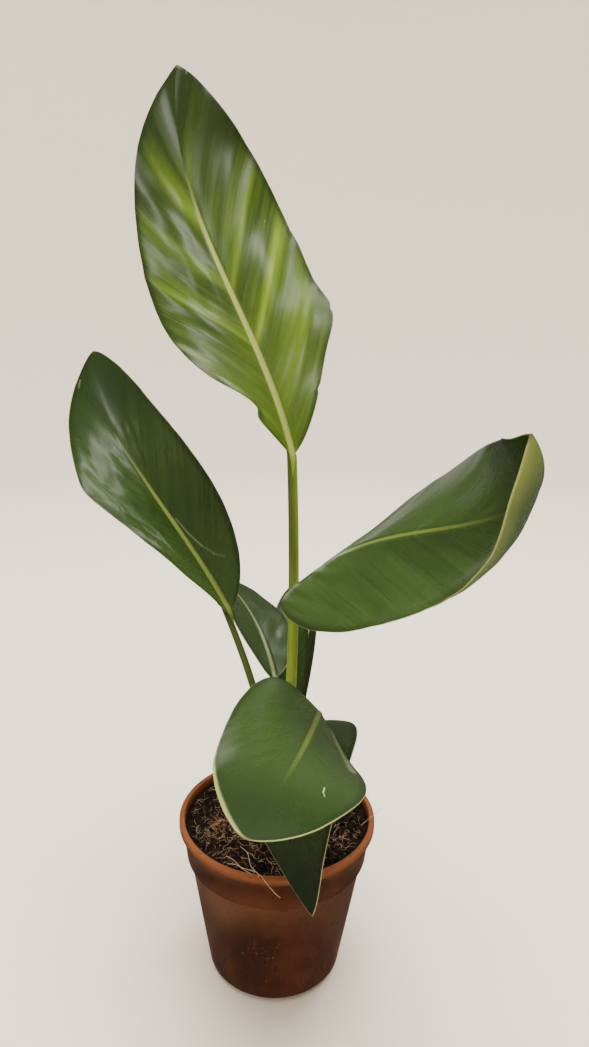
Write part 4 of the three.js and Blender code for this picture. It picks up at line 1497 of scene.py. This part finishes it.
class PLANT_OT_studio(bpy.types.Operator):
    """Pale floor that curves up into a backdrop, soft lights and the camera"""

    bl_idname = "plant.studio"
    bl_label = "Studio"

    def execute(self, context):
        s = context.scene.plant_studio
        self.camera(context.scene, s)
        self.floor(s)
        self.lights(context.scene)
        return {"FINISHED"}

    def camera(self, scene, s):
        data = bpy.data.cameras.new("camera")
        data.lens = s.focal_pixels * data.sensor_width / s.picture_height
        data.clip_start = 0.01
        camera = bpy.data.objects.new("camera", data)
        camera.matrix_world = camera_matrix(s)
        scene.collection.objects.link(camera)
        scene.camera = camera

    def floor(self, s):
        """A wide dish: flat in the middle, with a coved rim."""
        flat, cove, top = 1.5, 0.8, 2.4
        profile = [(0, 0), (flat / 2, 0), *arc((flat, cove), cove, -90, 0, 16)]
        points, faces = lathe([*profile, (flat + cove, top), (0, top)], 96)
        open_top = [f for f in faces if len(points) - 1 not in f]
        dish = add_piece("studio_floor", points[:-1], [f[::-1] for f in open_top])
        dish.data.materials.append(floor_finish(s.floor))
        dish.visible_glossy = False

    def lights(self, scene):
        for lamp in LAMPS:
            add_lamp(*lamp)
        world = bpy.data.worlds.new("studio_world")
        world.use_nodes = True
        background = world.node_tree.nodes["Background"]
        background.inputs["Color"].default_value = SKY_TONE
        background.inputs["Strength"].default_value = SKY_STRENGTH
        scene.world = world


STEPS = (PLANT_OT_studio, PLANT_OT_pot, PLANT_OT_soil, PLANT_OT_stalks, PLANT_OT_crown, PLANT_OT_blades)


class PLANT_PT_panel(bpy.types.Panel):
    """Lists the plant's pieces and their sizes and colours"""

    bl_idname = "PLANT_PT_panel"
    bl_label = "Potted Bird of Paradise"
    bl_space_type = "VIEW_3D"
    bl_region_type = "UI"
    bl_category = "Plant"

    def draw(self, context):
        layout = self.layout
        for step in STEPS:
            layout.operator(step.bl_idname)
        for name, group in GROUPS.items():
            box = layout.box()
            for field in group.__annotations__:
                box.prop(getattr(context.scene, name), field)


CLASSES = (*GROUPS.values(), *STEPS, PLANT_PT_panel)


def register():
    for item in CLASSES:
        bpy.utils.register_class(item)
    for name, group in GROUPS.items():
        setattr(bpy.types.Scene, name, bpy.props.PointerProperty(type=group))


def unregister():
    for name in GROUPS:
        delattr(bpy.types.Scene, name)
    for item in reversed(CLASSES):
        bpy.utils.unregister_class(item)


def main():
    register()
    bpy.ops.plant.studio()
    bpy.ops.plant.pot()
    bpy.ops.plant.soil()
    bpy.ops.plant.stalks()
    bpy.ops.plant.crown()
    bpy.ops.plant.blades()


if __name__ == "__main__":
    main()
